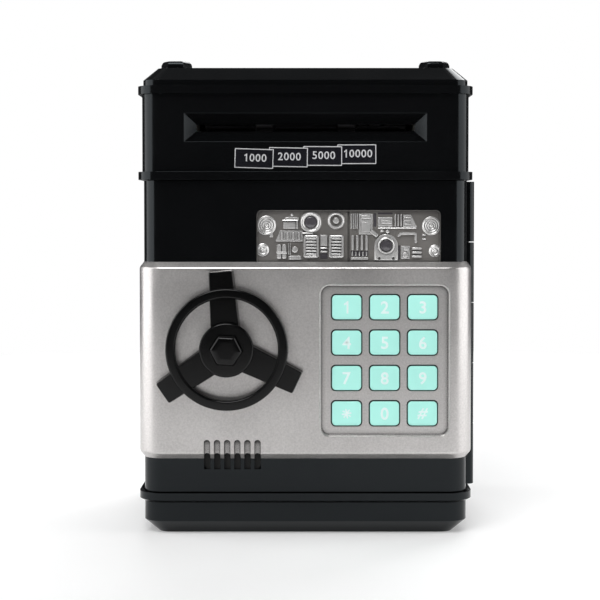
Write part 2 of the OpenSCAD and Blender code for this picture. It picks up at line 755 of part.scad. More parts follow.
module board_screws() {
    for (p = board_posts) translate([p[0], board_y + 2.85, p[1]]) rotate([-90, 0, 0])
        screw(2, 1.2, 0.9, 5);
    for (p = lamp_posts) translate([p[0], led_board_y + 2.85, p[1]]) rotate([-90, 0, 0])
        screw(2, 1.2, 0.9, 5);
}

module speaker() {
    color([0.15, 0.15, 0.16]) translate([vent_x, 0, speaker_z]) {
        along_y(front_y + 2.2, front_y + 4) circle(14);
        along_y(front_y + 4, front_y + 8) circle(9);
    }
}

module door_liner() {
    color(black) difference() {
        union() {
            translate([0, 0, (door_z0 + door_z1) / 2]) along_y(door_rear_y - 1.6, door_rear_y)
                rrect(inner_w - 0.4, door_h - 2 * wall - 0.2, 3);
        }
        knuckle_room(true);
        translate([wheel_x, 0, wheel_z]) along_y(door_rear_y - 3, door_rear_y + 1) circle(spindle_r + 0.3);
        for (p = concat(liner_posts, cover_posts)) translate([p[0], 0, p[1]])
            along_y(door_rear_y - 3, door_rear_y + 1) circle(1.15);
        for (i = [0:5]) translate([22 + 5 * i, door_rear_y - 0.6, 50]) cube([2, 1, 44]);
    }
}

module door_screws() {
    for (p = liner_posts) translate([p[0], door_rear_y + 1.4, p[1]])
        rotate([-90, 0, 0]) screw(2.5, 1.4, 1.1, 9);
    for (p = cover_posts) translate([p[0], latch_y1 - 0.1, p[1]])
        rotate([-90, 0, 0]) screw(2.3, 1.3, 1.1, 12);
}

// ---- latch ----

module latch_cover() {
    long = latch_x1 - latch_x0;
    deep = latch_y1 - door_rear_y;
    tall = latch_z1 - latch_z0;
    color([0.13, 0.13, 0.14]) difference() {
        union() {
            difference() {
                translate([latch_x0, door_rear_y, latch_z0]) cube([long, deep, tall]);
                translate([latch_x0 + 1.5, door_rear_y - 1, latch_z0 + 1.5])
                    cube([long - 3, deep - 0.5, tall - 3]);
            }
            for (p = cover_posts) translate([p[0], 0, p[1]]) along_y(door_rear_y, latch_y1) circle(3.4);
            // rails that carry the bolt
            translate([-51.5, door_rear_y, bolt_top_z + 0.1]) cube([4.4, deep - 1, 1.4]);
            translate([-30, door_rear_y, bolt_top_z + 0.1]) cube([21, deep - 1, 1.4]);
            translate([-51.5, door_rear_y, bolt_z0 - 2.6]) cube([7, deep - 1, 1.5]);
        }
        translate([latch_x0 - 1, bolt_y0 - 0.1, bolt_z0 - 1]) cube([4, 3.7, bolt_top_z - bolt_z0 + 1.1]);
        for (p = cover_posts) translate([p[0], 0, p[1]]) {
            along_y(door_rear_y - 1, latch_y1 + 1) circle(1.15);
            along_y(latch_y1 - 1.4, latch_y1 + 1) circle(2.4);
        }
    }
}

module latch_bolt() {
    pitch = PI * latch_m;
    color([0.8, 0.78, 0.7]) translate([0, 0, bolt_z0]) along_y(bolt_y0, bolt_y1) difference() {
        union() {
            translate([bolt_tip_x, 0.9]) square([bolt_end_x - bolt_tip_x, 6.1]);
            translate([bolt_tip_x, -0.9]) square([9, 3]);
            translate([wheel_x, 0]) rack2d(latch_m, -2, 5, 0.12);
        }
        for (k = [0, 1]) translate([plunger_x + k * bolt_travel - 2.3, 3]) square([4.6, 5]);
    }
}

module latch_spring() {
    color(steel) translate([0, (bolt_y0 + bolt_y1) / 2, bolt_z0 + 4])
        coil_spring(bolt_end_x, latch_x1 - 1.5, 1.5, 0.25, 6);
}

module lock_solenoid() {
    y0 = door_rear_y + 1;
    color(steel) difference() {
        translate([plunger_x - 5, y0, bolt_top_z + 4.2]) cube([10, latch_y1 - y0 - 1.7, 14.2]);
        translate([plunger_x, (bolt_y0 + bolt_y1) / 2, 0]) cylinder(h = 200, r = plunger_r + 0.06);
    }
}

module lock_plunger() {
    color("silver") translate([plunger_x, (bolt_y0 + bolt_y1) / 2, bolt_top_z + 0.4]) {
        cylinder(h = 17.6, r = plunger_r);
        translate([0, 0, 2.9]) cylinder(h = 0.6, r = 2.1);
    }
}

// ---- handwheel ----

module spoke() {
    for (side = [0, 1]) mirror([side, 0])
        polygon([[0, 0], [6.3, 0], [5, spoke_r - 0.9], [4.2, spoke_r], [0, spoke_r]]);
}

module handwheel() {
    rear = wheel_y;
    color(black) translate([wheel_x, 0, wheel_z]) difference() {
        union() {
            along_y(rear - 6, rear - 0.6) difference() {
                circle(ring_r);
                circle(ring_in_r);
            }
            along_y(rear - 5, rear - 0.2) for (k = [0:2]) rotate(spoke_turn + 120 * k) spoke();
            along_y(rear - 7.8, rear) circle(hub_r);
        }
        along_y(rear - 6, rear + 1) circle(spindle_r);
    }
}

module hub_cap() {
    front = wheel_y - 7.8;
    color(black) translate([wheel_x, front, wheel_z]) rotate([90, 0, 0]) rotate(-3) intersection() {
        cylinder(h = 3.3, r = 6.8, $fn = 6);
        cylinder(h = 3.3, r1 = 9.2, r2 = 6);
    }
}

module spindle() {
    color(steel) translate([wheel_x, 0, wheel_z]) {
        along_y(wheel_y - 5.9, door_rear_y + 0.1) circle(spindle_r);
        along_y(door_rear_y, bolt_y1 + 1) circle(spindle_thin_r);
    }
}

module latch_pinion() {
    color("white") translate([wheel_x, 0, wheel_z]) difference() {
        union() {
            along_y(bolt_y0, bolt_y1) gear2d(latch_m, latch_teeth, 0.12);
            along_y(door_rear_y + 1, bolt_y0 + eps) circle(4);
        }
        along_y(door_rear_y, bolt_y1 + 1) circle(spindle_thin_r);
    }
}

module spindle_clips() {
    color(steel) translate([wheel_x, 0, wheel_z]) for (y = [door_rear_y + 0.12, bolt_y1 + 0.05])
        along_y(y, y + 0.8) difference() {
            circle(4.6);
            circle(spindle_thin_r);
        }
}

// ---- keys ----

key_names = ["key_1", "key_2", "key_3", "key_4", "key_5", "key_6", "key_7", "key_8", "key_9",
    "key_star", "key_0", "key_hash"];

module key(i) {
    face_y = panel_y + 0.2;
    flange_y = front_y + 0.2;
    x = tray_x + (i % 3 - 1) * key_pitch_x;
    z = tray_z + (1.5 - floor(i / 3)) * key_pitch_z;
    color(mint) translate([x, 0, z]) {
        along_y(face_y + 0.5, flange_y + 0.5) rrect(key_w, key_h, 1.6);
        along_y(face_y, face_y + 0.6) rrect(key_w - 0.8, key_h - 0.8, 1.3);
        along_y(flange_y, flange_y + 0.9) rrect(key_w + 1.7, key_h + 1.7, 1.6);
        along_y(flange_y + 0.5, flange_y + 2.2) circle(2);
    }
}

base_tray();
battery_cover();
battery_cover_screw();
batteries();
battery_contacts();
base_screws();
main_housing();
hinge_pin();
upper_housing();
housing_screws();
top_cap();
cap_screws();
corner_studs();
coin_chute();
denomination_label();
feeder_frame();
bill_guide();
bill_sensor();
feed_motor();
feed_shaft();
feed_rollers();
feed_gear();
pinch_shaft();
pinch_rollers();
idler_gear();
motor_pinion();
door_shell();
front_panel();
window_lens();
window_backing();
led_board();
key_membrane();
keypad_board();
board_screws();
speaker();
door_liner();
door_screws();
latch_cover();
lock_solenoid();
latch_spring();
lock_plunger();
latch_bolt();
handwheel();
hub_cap();
spindle();
latch_pinion();
spindle_clips();
for (i = [0:11]) key(i);
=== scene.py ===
"""Looks for the toy cash-machine money bank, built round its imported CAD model."""
import json
import math

import bmesh
import bpy
from mathutils import Matrix, Vector
from mathutils.geometry import tessellate_polygon

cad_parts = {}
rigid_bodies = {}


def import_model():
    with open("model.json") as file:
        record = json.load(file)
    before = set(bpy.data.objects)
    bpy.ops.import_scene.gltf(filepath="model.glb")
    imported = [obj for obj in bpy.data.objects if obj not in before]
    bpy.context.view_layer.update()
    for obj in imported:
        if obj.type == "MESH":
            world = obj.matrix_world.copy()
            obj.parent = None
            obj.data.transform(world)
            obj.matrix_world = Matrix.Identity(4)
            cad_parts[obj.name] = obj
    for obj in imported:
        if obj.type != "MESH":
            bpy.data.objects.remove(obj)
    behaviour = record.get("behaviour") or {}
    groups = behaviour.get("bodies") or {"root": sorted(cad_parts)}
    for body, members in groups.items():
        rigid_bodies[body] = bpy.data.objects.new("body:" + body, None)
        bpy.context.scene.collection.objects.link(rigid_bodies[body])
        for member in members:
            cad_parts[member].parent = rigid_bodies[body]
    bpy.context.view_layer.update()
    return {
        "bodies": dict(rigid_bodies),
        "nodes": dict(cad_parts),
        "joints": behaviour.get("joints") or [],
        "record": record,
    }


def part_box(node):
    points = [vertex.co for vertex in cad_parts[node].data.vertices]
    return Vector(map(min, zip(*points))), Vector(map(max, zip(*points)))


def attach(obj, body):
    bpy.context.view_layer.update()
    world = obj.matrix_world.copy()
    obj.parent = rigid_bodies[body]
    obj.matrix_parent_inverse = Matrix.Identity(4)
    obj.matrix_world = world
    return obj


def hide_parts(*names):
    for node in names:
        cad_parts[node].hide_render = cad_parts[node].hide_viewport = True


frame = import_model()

MM = 0.001  # one millimetre, in metres
TAU = 2 * math.pi
NODES = frame["nodes"]


def corner(node, high=False):
    """The lowest or highest corner of a CAD node, in millimetres."""
    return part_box(node)[1 if high else 0] / MM


# ---- outlines in the plane, in millimetres ----

def arc(cx, cy, r, a0, a1, n):
    """Points from angle a0 to a1, in radians."""
    return [(cx + r * math.cos(a0 + (a1 - a0) * k / n), cy + r * math.sin(a0 + (a1 - a0) * k / n))
            for k in range(n + 1)]


def circle(r, cx=0.0, cy=0.0, n=32):
    """A closed outline of n points."""
    return arc(cx, cy, r, 0, TAU * (n - 1) / n, n - 1)


def fillet(a, b, c, r, n):
    """Points of the arc of radius r that rounds corner b between a and c."""
    a, b, c = Vector(a), Vector(b), Vector(c)
    to_a, to_c = (a - b).normalized(), (c - b).normalized()
    half = to_a.angle(to_c) / 2
    if r <= 0 or half > math.radians(88):
        return [tuple(b)]
    reach = min(r / math.tan(half), 0.49 * (a - b).length, 0.49 * (c - b).length)
    r = reach * math.tan(half)
    centre = b + (to_a + to_c).normalized() * (r / math.sin(half))
    start, end = b + to_a * reach - centre, b + to_c * reach - centre
    turn = start.angle_signed(end)
    points = []
    for k in range(n + 1):
        angle = -turn * k / n
        cos, sin = math.cos(angle), math.sin(angle)
        points.append((centre.x + start.x * cos - start.y * sin, centre.y + start.x * sin + start.y * cos))
    return points


def rounded(corners, radius, n=5):
    """A closed outline with its corners rounded; radius is one number or one for each corner."""
    count = len(corners)
    radii = radius if isinstance(radius, (list, tuple)) else [radius] * count
    points = []
    for i, at in enumerate(corners):
        points += fillet(corners[i - 1], at, corners[(i + 1) % count], radii[i], n)
    return points


def rounded_path(corners, radii, n=4):
    """An open profile with its inner corners rounded."""
    points = [corners[0]]
    for i in range(1, len(corners) - 1):
        points += fillet(corners[i - 1], corners[i], corners[i + 1], radii[i], n)
    return points + [corners[-1]]


def box2d(w, h, r=0.0, cx=0.0, cy=0.0, n=6):
    """A rectangle with rounded corners, anticlockwise."""
    x, y = w / 2, h / 2
    corners = [(cx - x, cy - y), (cx + x, cy - y), (cx + x, cy + y), (cx - x, cy + y)]
    return rounded(corners, r, n) if r else corners


def area2d(points):
    """The signed area, positive for an anticlockwise outline."""
    return sum(points[i - 1][0] * p[1] - p[0] * points[i - 1][1] for i, p in enumerate(points)) / 2


def turned(points, anticlockwise):
    """The outline, run in the direction asked for."""
    return list(points) if (area2d(points) > 0) == anticlockwise else list(reversed(points))


def moved_in(points, d):
    """The closed outline moved d to its left, with mitred corners."""
    out = []
    count = len(points)
    for i in range(count):
        a, b, c = (Vector(points[k]) for k in (i - 1, i, (i + 1) % count))
        n1 = (b - a).normalized().orthogonal()
        n2 = (c - b).normalized().orthogonal()
        n1 = n1 if (b - a).cross(n1) > 0 else -n1
        n2 = n2 if (c - b).cross(n2) > 0 else -n2
        m = n1 + n2
        out.append(tuple(b + m * (2 * d / max(m.length_squared, 0.5))))
    return out


# ---- meshes ----

PLANES = {  # (u, v, t) of a sheet to x, y, z
    "front": lambda u, v, t: (u, t, v),
    "top": lambda u, v, t: (u, v, t),
    "side": lambda u, v, t: (t, u, v),
}


def new_object(name, verts, faces):
    """A welded mesh object with its faces turned outward, from points in millimetres."""
    mesh = bpy.data.meshes.new(name)
    mesh.from_pydata([Vector(v) * MM for v in verts], [], faces)
    mesh.validate()
    work = bmesh.new()
    work.from_mesh(mesh)
    bmesh.ops.remove_doubles(work, verts=work.verts, dist=1e-7)
    bmesh.ops.recalc_face_normals(work, faces=work.faces)
    work.to_mesh(mesh)
    work.free()
    obj = bpy.data.objects.new(name, mesh)
    bpy.context.scene.collection.objects.link(obj)
    return obj


def rounding(r, t, steps, rear):
    """The (inset, place along t) steps of an edge at t, rounded by r. Without a radius it is one step."""
    if not r:
        return [(0, t)]
    angles = [k * math.pi / 2 / steps for k in range(steps + 1)]
    if rear:
        return [(r * (1 - math.cos(a)), t - r * (1 - math.sin(a))) for a in angles]
    return [(r * (1 - math.sin(a)), t + r * (1 - math.cos(a))) for a in angles]


def slab(name, outline, t0, t1, holes=(), front=0.3, back=0.0, plane="front", steps=3):
    """A plate between t0 and t1 with rounded edges at t0 (front) and t1 (back), and holes through it."""
    place = PLANES[plane]
    loops = [turned(outline, True)] + [turned(h, False) for h in holes]
    levels = rounding(front, t0, steps, False) + rounding(back, t1, steps, True)
    verts, faces, caps = [], [], [[], []]
    for loop in loops:
        count, first = len(loop), len(verts)
        for inset, t in levels:
            verts += [place(u, v, t) for u, v in moved_in(loop, inset)]
        for row in range(len(levels) - 1):
            for i in range(count):
                j, a, b = (i + 1) % count, first + row * count, first + (row + 1) * count
                faces.append((a + i, a + j, b + j, b + i))
        caps[0].append(range(first, first + count))
        caps[1].append(range(first + (len(levels) - 1) * count, first + len(levels) * count))
    for rings in caps:
        index = [i for ring in rings for i in ring]
        if len(rings) == 1:
            faces.append(tuple(index))
            continue
        flat = [[Vector(verts[i]) for i in ring] for ring in rings]
        faces += [tuple(index[k] for k in tri) for tri in tessellate_polygon(flat)]
    return new_object(name, verts, faces)


def rings_object(name, rings, cap=True, closed=False):
    """A skin through closed rings of points, with its two ends capped, or joined end to start."""
    count = len(rings[0])
    verts = [p for ring in rings for p in ring]
    faces = []
    last = len(rings) if closed else len(rings) - 1
    for row in range(last):
        a, b = row * count, (row + 1) % len(rings) * count
        for i in range(count):
            j = (i + 1) % count
            faces.append((a + i, a + j, b + j, b + i))
    if cap and not closed:
        faces += [tuple(range(count)), tuple(range(len(verts) - count, len(verts)))]
    return new_object(name, verts, faces)


def lathe(name, profile, centre, n=64, axis="front", closed=False):
    """Turns a profile of (radius, distance along the axis) about an axis through centre."""
    place = PLANES[axis]
    rings = []
    for r, t in profile:
        ring = circle(max(r, 0.001), n=n)
        rings.append([Vector(place(u, v, t)) + Vector(centre) for u, v in ring])
    return rings_object(name, rings, closed=closed)


def joined(name, parts):
    """Makes one object of several."""
    work = bmesh.new()
    for part in parts:
        work.from_mesh(part.data)
    mesh = bpy.data.meshes.new(name)
    work.to_mesh(mesh)
    work.free()
    for part in parts:
        bpy.data.objects.remove(part)
    obj = bpy.data.objects.new(name, mesh)
    bpy.context.scene.collection.objects.link(obj)
    return obj


def baked(obj):
    """Applies the object's modifiers to its mesh."""
    depsgraph = bpy.context.evaluated_depsgraph_get()
    mesh = bpy.data.meshes.new_from_object(obj.evaluated_get(depsgraph), depsgraph=depsgraph)
    obj.modifiers.clear()
    obj.data = mesh
    return obj


def combined(obj, tools, operation="DIFFERENCE"):
    """Cuts the tools out of the object, or adds them to it, and removes the tools."""
    for tool in tools:
        cut = obj.modifiers.new("cut", "BOOLEAN")
        cut.operation = operation
        cut.solver = "EXACT"
        cut.object = tool
    bpy.context.view_layer.update()
    baked(obj)
    for tool in tools:
        bpy.data.objects.remove(tool)
    return obj


def turned_about(obj, centre, degrees):
    """Turns a piece about an axis along Y through centre, anticlockwise as seen from the front."""
    centre = Vector(centre) * MM
    turn = Matrix.Rotation(-math.radians(degrees), 4, "Y")
    obj.data.transform(Matrix.Translation(centre) @ turn @ Matrix.Translation(-centre))
    return obj


def smoothed(obj, angle=38, width=0.0, segments=2):
    """Smooth shading with sharp edges past an angle, and optional rounding of those edges, in millimetres."""
    obj.data.polygons.foreach_set("use_smooth", [True] * len(obj.data.polygons))
    if width:
        round_off = obj.modifiers.new("round", "BEVEL")
        round_off.limit_method = "ANGLE"
        round_off.angle_limit = math.radians(angle)
        round_off.width = width * MM
        round_off.segments = segments
        round_off.use_clamp_overlap = True
    else:
        obj.data.set_sharp_from_angle(angle=math.radians(angle))
    weigh = obj.modifiers.new("weigh", "WEIGHTED_NORMAL")
    weigh.keep_sharp = True
    weigh.weight = 90
    return obj


# The figure 1 with a flag, one unit tall
ONE = [(-0.02, 0), (0.14, 0), (0.14, 1), (0.02, 1), (-0.08, 0.88), (-0.22, 0.8), (-0.22, 0.66), (-0.02, 0.75)]


def glyph(char, height, at, y, depth, bold):
    """One raised figure on a face that looks along -Y."""
    if char == "1":
        outline = [(at[0] + u * height, at[1] + (v - 0.5) * height) for u, v in ONE]
        return slab("g", outline, y - depth, y, front=0)
    curve = bpy.data.curves.new("g", "FONT")
    curve.body = char
    curve.align_x = "CENTER"
    curve.size = 1.0
    curve.offset = bold
    curve.resolution_u = 4
    text = bpy.data.objects.new("g", curve)
    bpy.context.scene.collection.objects.link(text)
    bpy.context.view_layer.update()
    depsgraph = bpy.context.evaluated_depsgraph_get()
    mesh = bpy.data.meshes.new_from_object(text.evaluated_get(depsgraph), depsgraph=depsgraph)
    bpy.data.objects.remove(text)
    low = [min(v.co[k] for v in mesh.vertices) for k in (0, 1)]
    high = [max(v.co[k] for v in mesh.vertices) for k in (0, 1)]
    scale = height / (high[1] - low[1])
    for v in mesh.vertices:
        u = at[0] + (v.co.x - (low[0] + high[0]) / 2) * scale
        w = at[1] + (v.co.y - (low[1] + high[1]) / 2) * scale
        v.co = Vector((u, y, w)) * MM
    work = bmesh.new()
    work.from_mesh(mesh)
    bmesh.ops.remove_doubles(work, verts=work.verts, dist=1e-7)
    bmesh.ops.recalc_face_normals(work, faces=work.faces)
    grown = bmesh.ops.extrude_face_region(work, geom=list(work.faces))
    for v in (g for g in grown["geom"] if isinstance(g, bmesh.types.BMVert)):
        v.co.y -= depth * MM
    bmesh.ops.recalc_face_normals(work, faces=work.faces)
    work.to_mesh(mesh)
    work.free()
    obj = bpy.data.objects.new("g", mesh)
    bpy.context.scene.collection.objects.link(obj)
    return obj


def lettering(name, words, height, centre, y, depth=0.12, bold=0.0, angle=0.0):
    """A row of figures at an even pitch, turned as one."""
    pitch = 0.77 * height
    parts = []
    for k, char in enumerate(words):
        at = (centre[0] + pitch * (k - (len(words) - 1) / 2), centre[1])
        parts.append(glyph(char, height, at, y, depth, bold))
    return turned_about(joined(name, parts), (centre[0], 0, centre[1]), angle)


# ---- materials ----

def principled(name, color, roughness, metallic=0.0, **inputs):
    """A new material; inputs name other sockets of its shader, with _ for a space."""
    mat = bpy.data.materials.new(name)
    mat.use_nodes = True
    shader = mat.node_tree.nodes["Principled BSDF"]
    shader.inputs["Base Color"].default_value = (*color, 1)
    shader.inputs["Roughness"].default_value = roughness
    shader.inputs["Metallic"].default_value = metallic
    for key, value in inputs.items():
        shader.inputs[key.replace("_", " ")].default_value = value
    return mat


def noise_into(mat, scale, detail=3.0, stretch=(1, 1, 1)):
    """A noise texture in the object's own space. Scale is in features per metre."""
    nodes, links = mat.node_tree.nodes, mat.node_tree.links
    place = nodes.new("ShaderNodeTexCoord")
    mapping = nodes.new("ShaderNodeMapping")
    mapping.inputs["Scale"].default_value = stretch
    noise = nodes.new("ShaderNodeTexNoise")
    noise.inputs["Scale"].default_value = scale
    noise.inputs["Detail"].default_value = detail
    links.new(place.outputs["Object"], mapping.inputs["Vector"])
    links.new(mapping.outputs["Vector"], noise.inputs["Vector"])
    return noise.outputs["Fac"]


def ranged(mat, value, low, high, start=0.3, end=0.7):
    """Maps a noise value on to a range."""
    nodes, links = mat.node_tree.nodes, mat.node_tree.links
    span = nodes.new("ShaderNodeMapRange")
    span.inputs["From Min"].default_value = start
    span.inputs["From Max"].default_value = end
    span.inputs["To Min"].default_value = low
    span.inputs["To Max"].default_value = high
    links.new(value, span.inputs["Value"])
    return span.outputs["Result"]


def varied_color(mat, value, colors, stops=(0.35, 0.65)):
    """Runs the base colour between two colours by a noise value."""
    nodes, links = mat.node_tree.nodes, mat.node_tree.links
    ramp = nodes.new("ShaderNodeValToRGB")
    for element, color, stop in zip(ramp.color_ramp.elements, colors, stops):
        element.position = stop
        element.color = (*color, 1)
    links.new(value, ramp.inputs["Fac"])
    links.new(ramp.outputs["Color"], nodes["Principled BSDF"].inputs["Base Color"])


def bumped(mat, value, strength, distance_mm):
    """Uses a value as the height of a fine surface relief."""
    nodes, links = mat.node_tree.nodes, mat.node_tree.links
    bump = nodes.new("ShaderNodeBump")
    bump.inputs["Strength"].default_value = strength
    bump.inputs["Distance"].default_value = distance_mm * MM
    links.new(value, bump.inputs["Height"])
    links.new(bump.outputs["Normal"], nodes["Principled BSDF"].inputs["Normal"])


def painted_corner_shade(mat, reach_mm, floor):
    """Darkens the base colour where the surface is close to its own walls: painted shade in corners, creases
    and recesses.
    """
    nodes, links = mat.node_tree.nodes, mat.node_tree.links
    base = nodes["Principled BSDF"].inputs["Base Color"]
    color = base.links[0].from_socket
    hidden = nodes.new("ShaderNodeAmbientOcclusion")
    hidden.only_local = True
    hidden.samples = 6
    hidden.inputs["Distance"].default_value = reach_mm * MM
    mix = nodes.new("ShaderNodeMix")
    mix.data_type, mix.blend_type = "RGBA", "MULTIPLY"
    mix.inputs["Factor"].default_value = 1
    links.new(color, mix.inputs[6])
    links.new(ranged(mat, hidden.outputs["AO"], floor, 1, 0.5, 0.93), mix.inputs[7])
    links.new(mix.outputs[2], base)
    return mat


def shade(color, factor):
    """The colour made lighter or darker."""
    return tuple(min(1.0, c * factor) for c in color)


def plastic(name, color, roughness, spread=0.08, grain=900, bump=0.05, tone=0.15, **inputs):
    """Moulded plastic: slow colour drift, patchy gloss, and a fine orange-peel surface."""
    mat = principled(name, color, roughness, **inputs)
    links = mat.node_tree.links
    rough = mat.node_tree.nodes["Principled BSDF"].inputs["Roughness"]
    varied_color(mat, noise_into(mat, 22, 4), (shade(color, 1 - tone), shade(color, 1 + tone)))
    links.new(ranged(mat, noise_into(mat, 60, 6), roughness - spread, roughness + spread), rough)
    bumped(mat, noise_into(mat, grain, 2), bump, 0.05)
    return mat


def metal(name, color, roughness, stretch=(1, 1, 1), grain=500, bump=0.08):
    """Plated or turned metal with fine marks along one direction."""
    mat = principled(name, color, roughness, metallic=1.0)
    links = mat.node_tree.links
    rough = mat.node_tree.nodes["Principled BSDF"].inputs["Roughness"]
    varied_color(mat, noise_into(mat, 80, 5), (shade(color, 0.85), shade(color, 1.1)))
    links.new(ranged(mat, noise_into(mat, grain, 4, stretch), roughness - 0.08, roughness + 0.12), rough)
    bumped(mat, noise_into(mat, grain * 2, 3, stretch), bump, 0.03)
    return mat


def silver_paint():
    """Satin silver paint: fine metal flake under a thin lacquer."""
    color = (0.60, 0.58, 0.57)
    mat = principled("silver_paint", color, 0.42, metallic=0.9)
    nodes, links = mat.node_tree.nodes, mat.node_tree.links
    shader = nodes["Principled BSDF"]
    shader.inputs["Coat Weight"].default_value = 0.15
    shader.inputs["Coat Roughness"].default_value = 0.3
    flake = nodes.new("ShaderNodeTexVoronoi")
    flake.inputs["Scale"].default_value = 4200
    place = nodes.new("ShaderNodeTexCoord")
    links.new(place.outputs["Object"], flake.inputs["Vector"])
    varied_color(mat, noise_into(mat, 1500, 3), (shade(color, 0.9), shade(color, 1.08)), (0.3, 0.7))
    links.new(ranged(mat, noise_into(mat, 45, 5), 0.29, 0.38), shader.inputs["Roughness"])
    bumped(mat, flake.outputs["Distance"], 0.12, 0.03)
    return mat


def key_plastic():
    """Mint plastic painted near black down its sides below the face: painted shade for the shadow in the gap
    round a key.
    """
    color = (0.46, 0.95, 0.85)
    mat = plastic("mint_plastic", color, 0.4, spread=0.06, grain=500, bump=0.04, tone=0.04)
    nodes, links = mat.node_tree.nodes, mat.node_tree.links
    place = nodes.new("ShaderNodeTexCoord")
    split = nodes.new("ShaderNodeSeparateXYZ")
    links.new(place.outputs["Object"], split.inputs[0])
    # painted shade: the colour runs to near black from 0.75 to 1.5 mm behind the key's face
    depth = nodes.new("ShaderNodeMapRange")
    depth.inputs["From Min"].default_value = (KEY_FACE_Y + 0.75) * MM
    depth.inputs["From Max"].default_value = (KEY_FACE_Y + 1.5) * MM
    links.new(split.outputs["Y"], depth.inputs["Value"])
    ramp = nodes["Color Ramp"]
    mix = nodes.new("ShaderNodeMix")
    mix.data_type = "RGBA"
    links.new(depth.outputs["Result"], mix.inputs["Factor"])
    links.new(ramp.outputs["Color"], mix.inputs[6])
    mix.inputs[7].default_value = (0.004, 0.03, 0.027, 1)
    links.new(mix.outputs[2], nodes["Principled BSDF"].inputs["Base Color"])
    return mat


def circuit_board():
    """Green solder mask with lighter tracks."""
    mat = principled("circuit_board", (0.02, 0.16, 0.06), 0.3)
    nodes, links = mat.node_tree.nodes, mat.node_tree.links
    tracks = nodes.new("ShaderNodeTexBrick")
    tracks.inputs["Scale"].default_value = 160
    tracks.inputs["Mortar Size"].default_value = 0.03
    tracks.inputs["Color1"].default_value = (0.015, 0.14, 0.05, 1)
    tracks.inputs["Color2"].default_value = (0.02, 0.17, 0.06, 1)
    tracks.inputs["Mortar"].default_value = (0.05, 0.28, 0.10, 1)
    place = nodes.new("ShaderNodeTexCoord")
    turn = nodes.new("ShaderNodeMapping")
    turn.inputs["Rotation"].default_value = (math.pi / 2, 0, 0)
    links.new(place.outputs["Object"], turn.inputs["Vector"])
    links.new(turn.outputs["Vector"], tracks.inputs["Vector"])
    links.new(tracks.outputs["Color"], nodes["Principled BSDF"].inputs["Base Color"])
    bumped(mat, tracks.outputs["Fac"], 0.1, 0.03)
    return mat


def battery_wrap():
    """A plain blue sleeve."""
    mat = principled("battery_wrap", (0.02, 0.07, 0.22), 0.25)
    nodes, links = mat.node_tree.nodes, mat.node_tree.links
    varied_color(mat, noise_into(mat, 30, 4), ((0.015, 0.05, 0.18), (0.03, 0.09, 0.27)))
    links.new(ranged(mat, noise_into(mat, 90, 3), 0.2, 0.35), nodes["Principled BSDF"].inputs["Roughness"])
    bumped(mat, noise_into(mat, 300, 3), 0.05, 0.05)
    return mat


KEY_FACE_Y = corner("key_1").y
BLACK = plastic("black_plastic", (0.0028, 0.0029, 0.0032), 0.15, spread=0.05, tone=0.12,
                Specular_IOR_Level=0.27, Specular_Tint=(0.84, 0.94, 1.0, 1))
BLACK_INNER = plastic("black_plastic_inner", (0.008, 0.008, 0.0085), 0.5, spread=0.08, grain=600, bump=0.1)
WHEEL_BLACK = plastic("wheel_plastic", (0.0014, 0.0014, 0.0015), 0.17, spread=0.04, grain=700, bump=0.06,
                      Specular_IOR_Level=0.26)
GREY = plastic("grey_plastic", (0.05, 0.05, 0.055), 0.5, bump=0.1)
FRAME_GREY = plastic("frame_plastic", (0.45, 0.44, 0.41), 0.5, bump=0.1)
# painted shade: the silver paint's colour is darkened in its recesses, key holes and grooves
SILVER = painted_corner_shade(silver_paint(), 2.2, 0.05)
MINT = key_plastic()
NUMERAL = plastic("numeral_paint", (0.80, 0.98, 0.95), 0.45, spread=0.05, tone=0.03)
RELIEF = plastic("relief_plastic", (0.76, 0.75, 0.74), 0.22, spread=0.05, grain=500, bump=0.06, tone=0.15,
                 Metallic=0.55, Coat_Weight=0.7, Coat_Roughness=0.08)
GROUND = plastic("ground_plastic", (0.20, 0.19, 0.18), 0.3, spread=0.06, grain=400, bump=0.1, tone=0.3,
                 Metallic=0.2, Coat_Weight=0.7, Coat_Roughness=0.1)
# painted shade: the relief and its ground are darkened where parts stand close to each other
for relief_mat in (RELIEF, GROUND):
    painted_corner_shade(relief_mat, 1.6, 0.15)
LAMP = plastic("lamp_plastic", (0.075, 0.070, 0.078), 0.12, spread=0.04, tone=0.1, Coat_Weight=1.0)
FILM = plastic("silver_film", (0.32, 0.31, 0.31), 0.3, spread=0.06, grain=400, bump=0.2, Metallic=0.6)
NYLON = plastic("white_nylon", (0.80, 0.78, 0.72), 0.45, grain=600, bump=0.06, tone=0.05)
RUBBER = plastic("rubber", (0.03, 0.03, 0.032), 0.75, grain=1200, bump=0.15)
MEMBRANE = plastic("membrane_rubber", (0.03, 0.03, 0.03), 0.6, grain=800, bump=0.1, tone=0.05)
CONE = plastic("speaker_cone", (0.02, 0.02, 0.02), 0.7, grain=300, bump=0.3)
LABEL = plastic("label_print", (0.006, 0.006, 0.009), 0.25, spread=0.05, tone=0.1)
LABEL_EDGE = plastic("label_line", (0.55, 0.55, 0.56), 0.35, spread=0.05, tone=0.1)
STEEL = metal("zinc_steel", (0.56, 0.57, 0.58), 0.3)
TURNED = metal("turned_steel", (0.60, 0.60, 0.60), 0.22, stretch=(1, 12, 1))
DARK_STEEL = metal("blackened_steel", (0.03, 0.03, 0.032), 0.4, stretch=(1, 12, 1))
BOARD = circuit_board()
SLEEVE = battery_wrap()


def dressed(obj, material):
    """Gives the object this one material."""
    obj.data.materials.clear()
    obj.data.materials.append(material)
    return obj


def piece(obj, body, material, replaces=(), angle=38, width=0.0, segments=2):
    """Gives a new piece its looks, its body, its finish and the CAD nodes that it stands for."""
    dressed(obj, material)
    smoothed(obj, angle, width, segments)
    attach(obj, body)
    if replaces:
        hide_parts(*replaces)
    return obj


# ---- places that the CAD model gives ----

